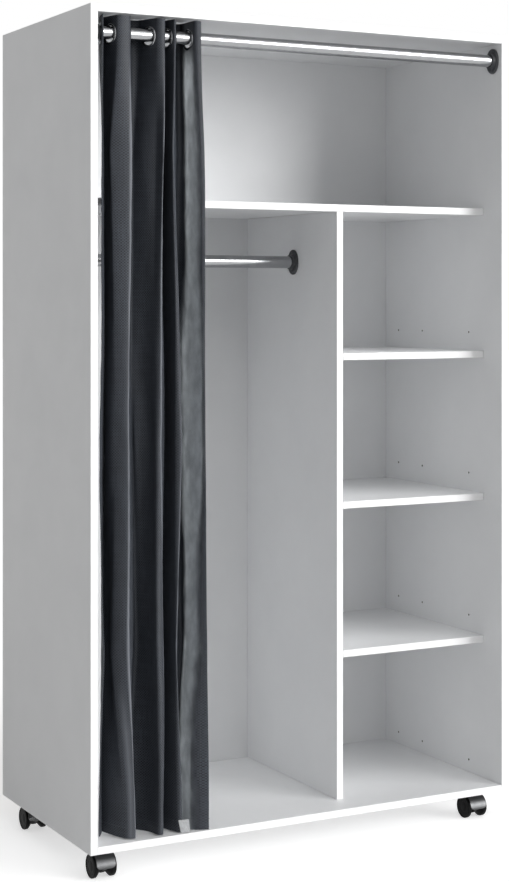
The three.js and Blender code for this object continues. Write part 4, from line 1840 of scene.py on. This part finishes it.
    def eyelets(self) -> bpy.types.Object:
        """The eyelets: a barrel with a curled lip on each side of the cloth.

        Returns:
            The piece.
        """
        bore, rim = self.eyelet_bore, self.eyelet_rim
        seat, crown = self.eyelet_seat, self.eyelet_seat + self.eyelet_lip
        half = [
            (0.0182, 0.0), (0.0182, seat), (rim - 0.0006, seat), (rim - 0.0001, seat + 0.0003),
            (rim, seat + 0.0006), (rim - 0.0004, seat + 0.001), (rim - 0.0014, crown + 0.0003),
            (0.0195, crown + 0.0007), (0.0181, crown + 0.0003), (bore + 0.0003, seat + 0.0006),
            (bore, seat - 0.0002), (bore, 0.0),
        ]
        profile = [*half, *[(r, -a) for r, a in reversed(half[1:-1])]]
        ring = Solid.turned(profile, 56, Axis.Z, ring=True)
        places = [(place, facing, 0.0) for place, facing in self.eyelets_at()]
        made = self.copies.set(ring, places, self.palette.ring)
        nodes = [f"eyelet_{i + 1}" for i in range(len(places))]
        return self.sewn(made, "curtain_eyelets", self.palette.ring, "eyelet_metal", nodes, 40.0)

    def seam_lines(self, grid: Grid) -> list[list[Point]]:
        """The lines that the hems are sewn along, on both faces of the cloth.

        Args:
            grid: The middle surface.

        Returns:
            The points of each line.
        """
        points, normals, u, heights = grid
        lines = []
        levels = [self.top - self.header + self.seam_inset, self.hem + self.hem_height - self.seam_inset]
        columns = [
            int(np.argmin(np.abs(u - self.side_hem + self.side_seam_inset))),
            int(np.argmin(np.abs(u - u[-1] + self.side_hem - self.side_seam_inset))),
        ]
        for face in (-1, 1):
            away = face * (self.hemmed / 2 + self.seam_proud)
            for level in levels:
                row = int(np.argmin(np.abs(heights - level)))
                lines.append([tuple(p) for p in points[row] + normals[row] * away])
            for column in columns:
                lines.append([tuple(p) for p in points[:, column] + normals[:, column] * away])
        return lines

    def seams(self, grid: Grid) -> bpy.types.Object:
        """The stitches of the header, the hem and the two side hems."""
        made = self.stitching.sew(self.seam_lines(grid), self.palette.thread)
        return self.sewn(made, "curtain_seams", self.palette.thread, "curtain_cloth")

    def label_sheet(self, face: np.ndarray, heading: np.ndarray, out: np.ndarray) -> bpy.types.Mesh:
        """The two layers of the folded label.

        Args:
            face: Where the label hangs, in X and Y.
            heading: The way across the label.
            out: The way that its front looks.

        Returns:
            The mesh, with the tape's own UV map in metres.
        """
        low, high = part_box("care_label")
        tall, steps = high.z - low.z, self.label_rows
        sides = (-1.0, -0.5, 0.0, 0.5, 1.0)
        count, (least, most, haste) = len(sides), self.label_swell
        vertices, faces, uvs = [], [], []
        for layer, gap in enumerate((0.0, self.label_gap)):
            for r in range(steps + 1):
                t = r / steps
                swell = gap * (least + most * math.sin(math.pi * min(1.0, t * haste)))
                width = self.label_half * (1 - self.label_taper + self.label_taper * t)
                curl = self.label_curl * (1 - t) ** 2
                for side in sides:
                    cup = self.label_cup * (1 - side * side) * (1 - t)
                    across = side * width + self.label_drift * (1 - t)
                    p = face + heading * across + out * (swell + curl + cup - self.label_sunk)
                    vertices.append((p[0], p[1], low.z + self.label_foot + t * tall * self.label_hang))
                    uvs.append((side * self.label_half, t * tall + layer * self.label_layer_gap))
        for layer in range(2):
            for r in range(steps):
                for c in range(count - 1):
                    a = (layer * (steps + 1) + r) * count + c
                    quad = (a, a + count, a + count + 1, a + 1)
                    faces.append((quad[0], *reversed(quad[1:])) if layer else quad)
        mesh = bpy.data.meshes.new("care_label_tape")
        mesh.from_pydata(vertices, [], faces)
        tape = mesh.uv_layers.new(name="tape")
        for loop in mesh.loops:
            tape.data[loop.index].uv = uvs[loop.vertex_index]
        return mesh

    def label(self) -> tuple[bpy.types.Object, bpy.types.Object]:
        """The bare care label: a folded tape that hangs at the hem, and its stitches.

        Returns:
            The tape and the stitches.
        """
        turn = math.radians(self.label_turn)
        heading = np.array([math.sin(turn), math.cos(turn)])
        out = np.array([heading[1], -heading[0]])
        face = np.array(self.label_at) + out * self.label_stand
        solid = Solid(self.label_sheet(face, heading, out)).thicken(self.label_thickness)
        tape = self.sewn(solid, "care_label_tape", self.palette.tape, "label_tape", ["care_label"], 50.0)
        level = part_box("care_label")[1].z - self.label_seam
        reach, proud = heading * self.label_seam_reach * self.label_half, out * self.label_seam_proud
        line = [(end[0], end[1], level) for end in (face - reach + proud, face + reach + proud)]
        thread = self.palette.label_thread
        made = self.stitching.sew([line], thread, self.label_pitch, self.label_stitch)
        return tape, self.sewn(made, "care_label_stitches", thread, "label_tape")

    def sewn(
        self,
        solid: Solid,
        name: str,
        material: bpy.types.Material,
        slot: str,
        nodes: Sequence[str] = (),
        smooth: float = 60.0,
    ) -> bpy.types.Object:
        """Finishes a piece that rides with the curtain."""
        return solid.named(name, [material], "curtain_pack", slot, nodes, smooth, False)

    def build(self) -> None:
        """Builds the curtain: its cloth, eyelets, seams and label."""
        grid = self.surface()
        cloth = self.cloth(grid)
        eyelets = self.eyelets()
        seams = self.seams(grid)
        tape, stitches = self.label()


@dataclass
class Castor:
    """One twin-wheel castor under the wardrobe: plate, kingpin, hood, axle and two wheels."""

    palette: Palette
    copies: Copies
    row: Row
    side: Side
    trail: float = 0.020
    axle_height: float = 0.025
    wheel_radius: float = 0.025
    cone_radius: float = 0.015
    web_radius: float = 0.016
    inner_face: float = 0.0075
    outer_face: float = 0.0252
    hood_radius: float = 0.0285
    hood_shell: float = 0.0022
    hood_width: float = 0.042
    hood_angles: tuple[float, float] = (-3.0, 128.0)
    hood_corner: tuple[float, float] = (0.009, 0.008)
    hub_radius: float = 0.0085
    hub_half: float = 0.007
    web_width: float = 0.008
    boss_top: float = 0.0545
    axle_bore: float = 0.0033
    pin_bore: float = 0.0043
    pin_collar: tuple[float, float] = (0.0549, 0.0569)
    pin_hole: tuple[float, float] = (0.0071, 0.05)
    web_foot: float = -0.006
    lining: float = 0.0009
    plate_half: float = 0.021
    plate_corner: float = 0.0065
    plate_dish: float = 0.0086
    plate_dish_depth: float = 0.0003
    plate_hole_top: float = 0.005
    screw_offset: float = 0.0145
    screw_bore: float = 0.0023
    screw_radius: float = 0.0037
    screw_height: float = 0.0016
    overrun: float = 0.001
    through: float = 0.03

    def name(self, part: str = "") -> str:
        """The name of the castor's own body, or of one of its parts."""
        return "_".join(["castor", self.row.name.lower(), self.side.name.lower(), *([part] if part else [])])

    def pivot(self) -> tuple[float, float]:
        """The swivel axis's X and Y."""
        low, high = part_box(self.name("plate"))
        return (low.x + high.x) / 2, (low.y + high.y) / 2

    def on_axle(self, solid: Solid) -> Solid:
        """Moves a shape that is made about the axle to the axle's place."""
        x, y = self.pivot()
        return solid.moved(x, y - self.trail, self.axle_height)

    def fitted(
        self,
        solid: Solid,
        part: str,
        kind: str,
        materials: Sequence[bpy.types.Material],
        slot: str,
        body: str = "carcass",
        smooth: float = 32.0,
    ) -> bpy.types.Object:
        """Finishes the piece that stands for one of the castor's nodes."""
        node = self.name(part)
        return solid.named(f"{node}_{kind}", materials, body, slot, [node], smooth)

    def around(self, radius: float, degrees: float) -> tuple[float, float]:
        """A point about the axle in Y and Z. The angle rises from the front, over the top."""
        angle = math.radians(degrees)
        return -radius * math.cos(angle), radius * math.sin(angle)

    def plate(self) -> bpy.types.Object:
        """The pressed mounting plate with its four holes and the kingpin's hole.

        Returns:
            The piece.
        """
        low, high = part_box(self.name("plate"))
        half, thick, over = self.plate_half, high.z - low.z, self.overrun
        square = [(-half, -half), (half, -half), (half, half), (-half, half)]
        corners = rounded(square, self.plate_corner, 6)
        solid = Solid.stacked([[(x, y, z) for x, y in corners] for z in (0.0, thick)])
        solid.cut(Solid.disc(self.plate_dish, -over, self.plate_dish_depth, 40))
        for x in (-self.screw_offset, self.screw_offset):
            for y in (-self.screw_offset, self.screw_offset):
                solid.cut(Solid.disc(self.screw_bore, -over, thick + over, 24).moved(x, y))
        solid.cut(Solid.disc(self.pin_bore, -over, self.plate_hole_top, 32))
        solid.ease(0.0005, 2, 50.0).moved(*self.pivot(), low.z)
        return self.fitted(solid, "plate", "pressing", [self.palette.steel], "zinc_steel")

    def kingpin(self) -> bpy.types.Object:
        """The kingpin with its thrust collar and a riveted head.

        Returns:
            The piece.
        """
        (_, _, foot), (_, _, head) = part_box(self.name("kingpin"))
        under, over = self.pin_collar
        profile = [
            (0.0, foot), (0.0034, foot), (0.004, foot + 0.0006), (0.004, under), (0.0075, under),
            (0.008, under + 0.0004), (0.008, over - 0.0004), (0.0075, over), (0.004, over),
            (0.004, head - 0.0005), (0.0035, head), (0.0, head),
        ]
        solid = Solid.turned(profile, 40).moved(*self.pivot())
        return self.fitted(solid, "kingpin", "pin", [self.palette.steel], "zinc_steel")

    def arc(self, radius: float, steps: int = 40) -> list[tuple[float, float]]:
        """Points of the hood's arc at a radius."""
        first, last = self.hood_angles
        return [self.around(radius, first + (last - first) * i / steps) for i in range(steps + 1)]

    def corner(self, side: Side, half: float, low: float) -> Solid:
        """The block that takes a rounded corner off the hood's lower front edge.

        Args:
            side: The hood's side.
            half: Half the hood's width.
            low: The height of its lower edge above the axle.

        Returns:
            The block.
        """
        wide, tall = self.hood_corner
        outline = [(half + 0.002, low - 0.003), (half + 0.002, low + tall)]
        for i in range(9):
            t = math.pi / 2 * i / 8
            outline.append((half - wide * (1 - math.cos(t)), low + tall * (1 - math.sin(t))))
        outline.append((half - wide, low - 0.003))
        front, rear = -self.hood_radius - 0.002, -self.hood_radius + 0.012
        return Solid.stacked([[(side.value * x, y, z) for x, z in outline] for y in (front, rear)])

    def hood(self) -> bpy.types.Object:
        """The moulded hood with its web, hub and kingpin boss.

        Returns:
            The piece.
        """
        outer, inner = self.hood_radius, self.hood_radius - self.hood_shell
        shell = Solid.across([*self.arc(outer), *reversed(self.arc(inner))], self.hood_width)
        low, half = outer * math.sin(math.radians(self.hood_angles[0])), self.hood_width / 2
        for side in Side:
            shell.cut(self.corner(side, half, low))
        below = [self.around(self.web_radius, angle) for angle in range(-110, -20, 10)]
        web = [*self.arc(outer - self.hood_shell / 2), (self.trail, self.web_foot), *below]
        boss = Solid.disc(self.hub_radius, self.web_foot, self.boss_top - self.axle_height, 40)
        shell.cut(Solid.across(web, self.web_width), Cut.JOIN)
        shell.cut(Solid.disc(self.hub_radius, -self.hub_half, self.hub_half, 40, Axis.X), Cut.JOIN)
        shell.cut(boss.moved(y=self.trail), Cut.JOIN)
        shell.cut(Solid.disc(self.axle_bore, -self.through, self.through, 32, Axis.X))
        shell.cut(Solid.disc(self.pin_bore, *self.pin_hole, 32).moved(y=self.trail))
        shell.ease(0.0006, 2, 45.0)
        for face in shell.body.data.polygons:
            away = math.hypot(face.center.y, face.center.z)
            face.material_index = int(away < outer - self.lining)
        materials = [self.palette.hood, self.palette.frame]
        return self.fitted(
            self.on_axle(shell), "hood", "moulding", materials, "castor_hood", self.name(), 30.0
        )

    def axle(self) -> bpy.types.Object:
        """The steel axle with chamfered ends.

        Returns:
            The piece.
        """
        low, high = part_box(self.name("axle"))
        half = (high.x - low.x) / 2
        profile = [
            (0.0, -half), (0.0025, -half), (0.003, -half + 0.0005),
            (0.003, half - 0.0005), (0.0025, half), (0.0, half),
        ]
        solid = self.on_axle(Solid.turned(profile, 32, Axis.X))
        return self.fitted(solid, "axle", "pin", [self.palette.steel], "zinc_steel", self.name())

    def wheel(self, side: Side) -> bpy.types.Object:
        """One wheel: a crowned tread, a stepped cap with a button, and an open inner face.

        Args:
            side: Which of the two wheels.

        Returns:
            The piece.
        """
        r, bore, cone = self.wheel_radius, self.axle_bore, self.cone_radius
        inner, face, tread = self.inner_face, self.outer_face, self.outer_face - 0.009
        shoulder = ((0.0016, -0.0006), (0.0008, 0.0002), (0.0002, 0.0009), (0.0, 0.0018), (0.0, 0.0045))
        rim = (
            (0.0, 0.0016), (0.0004, 0.0005), (0.0013, 0.0), (0.0033, 0.0),
            (0.0039, 0.0003), (0.0043, 0.0011), (0.0063, 0.0011), (0.0067, 0.0007),
        )
        cap = (
            (0.0124, 0.0006), (0.0120, 0.0011), (0.0108, 0.0011), (0.0104, 0.0006),
            (0.0062, 0.0002), (0.0057, 0.0), (0.0024, 0.0), (0.0, 0.0),
        )
        profile = [
            (0.0, face - 0.003), (bore, face - 0.003), (bore, inner),
            (cone - 0.0007, inner), (cone, inner + 0.0007),
            *[(r - inset, tread + out) for inset, out in shoulder],
            *[(r - inset, face - sunk) for inset, sunk in rim],
            *[(radius, face - sunk) for radius, sunk in cap],
        ]
        which = side.name.lower()
        solid = Solid.turned(profile, 72, Axis.X).moved(turn=0.0 if side is Side.RIGHT else math.pi)
        return self.fitted(
            self.on_axle(solid), f"wheel_{which}", "moulding", [self.palette.wheel],
            "castor_wheel", self.name(f"{which}_wheel"), 30.0,
        )

    def screws(self) -> bpy.types.Object:
        """The four pan-head screws that hold the plate to the bottom panel.

        Returns:
            The piece.
        """
        low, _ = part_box(self.name("plate"))
        x, y = self.pivot()
        off, down = self.screw_offset, (0.0, 0.0, -1.0)
        places = [
            ((x + a * off, y + b * off, low.z - 0.0001), down, 0.9 * a + 0.4 * b)
            for a in (-1, 1) for b in (-1, 1)
        ]
        head = screw_head(self.screw_radius, self.screw_height)
        made = self.copies.set(head, places, self.palette.steel)
        return made.named(self.name("screws"), [self.palette.steel], "carcass", "zinc_steel")

    def build(self) -> None:
        """Builds the castor."""
        self.plate()
        self.kingpin()
        self.hood()
        self.axle()
        for side in Side:
            self.wheel(side)
        self.screws()


@dataclass(frozen=True)
class Lamp:
    """A soft far lamp: its turn to the right of the front and its rise, its power and its size.

    The two angles and the apparent size are in degrees.
    """

    name: str
    turn: float
    rise: float
    power: float
    spread: float


@dataclass
class Studio:
    """The camera, the soft lamps, the pale floor and the white surround."""

    camera_place: Point = (-1.9528, -3.6643, 1.1973)
    camera_turn: float = -28.009
    focal_pixels: float = 1804.49
    sensor: float = 36.0
    picture: tuple[int, int] = (509, 882)
    horizon: float = 298.56
    ambient: float = 0.22
    lamps: tuple[Lamp, ...] = (Lamp("key", 41.0, 6.5, 4.15, 44.0), Lamp("fill", -5.0, 50.0, 0.76, 50.0))
    floor_reach: float = 30.0

    def camera(self) -> None:
        """The camera at the photograph's place. It looks level, and its shift frames the object."""
        data = bpy.data.cameras.new("camera")
        data.sensor_fit = "VERTICAL"
        data.sensor_height = data.sensor_width = self.sensor
        data.lens = self.sensor * self.focal_pixels / self.picture[1]
        data.shift_y = (self.horizon - self.picture[1] / 2) / self.picture[1]
        data.clip_start, data.clip_end = 0.05, 200.0
        camera = linked("camera", data)
        camera.location = self.camera_place
        camera.rotation_euler = (math.pi / 2, 0.0, math.radians(self.camera_turn))
        bpy.context.scene.camera = camera

    def light(self, lamp: Lamp) -> None:
        """Sets up a soft far lamp.

        Args:
            lamp: Where it stands and how it shines.
        """
        data = bpy.data.lights.new(lamp.name, "SUN")
        data.energy = lamp.power
        data.angle = math.radians(lamp.spread)
        turn, rise = math.radians(lamp.turn), math.radians(lamp.rise)
        towards = Vector((math.sin(turn) * math.cos(rise), -math.cos(turn) * math.cos(rise), math.sin(rise)))
        made = linked(lamp.name, data)
        made.rotation_euler = towards.to_track_quat("Z", "Y").to_euler()
        made.location = towards * 6.0

    def surround(self) -> None:
        """A surround that lights softly and looks white to the camera and in reflections."""
        world = bpy.data.worlds.new("surround")
        bpy.context.scene.world = world
        tree = Tree(world)
        level = tree.span(tree.seen(), self.ambient, 1.0)
        light = tree.add("ShaderNodeBackground", Color=(1.0, 1.0, 1.0, 1.0), Strength=level)
        tree.add("ShaderNodeOutputWorld", Surface=light.outputs["Background"])

    def floor(self) -> None:
        """The pale floor."""
        r = self.floor_reach
        mesh = bpy.data.meshes.new("floor")
        mesh.from_pydata([(-r, -r, 0.0), (r, -r, 0.0), (r, r, 0.0), (-r, r, 0.0)], [], [(0, 1, 2, 3)])
        mesh.materials.append(StudioFinish().make())
        linked("floor", mesh)

    def build(self) -> None:
        """Builds the studio."""
        bpy.context.scene.view_settings.view_transform = "Standard"
        self.camera()
        for lamp in self.lamps:
            self.light(lamp)
        self.surround()
        self.floor()


def corners(pair: tuple[Vector, Vector]) -> list[list[float]]:
    """A box's two corners as plain lists."""
    return [[float(c) for c in corner] for corner in pair]


def main() -> None:
    """Builds the studio and every sub-assembly in order."""
    logging.basicConfig(level=logging.INFO, format="%(name)s: %(message)s")
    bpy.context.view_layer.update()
    Studio().build()
    palette = Palette.made()
    copies, stitching = Copies(), Stitching()
    Carcass(palette).build()
    for node in ("curtain_rod", "hanging_rail"):
        Tube(palette, copies, node).build()
    Curtain(palette, copies, stitching).build()
    for row in Row:
        for side in Side:
            Castor(palette, copies, row, side).build()


if __name__ == "__main__":
    main()
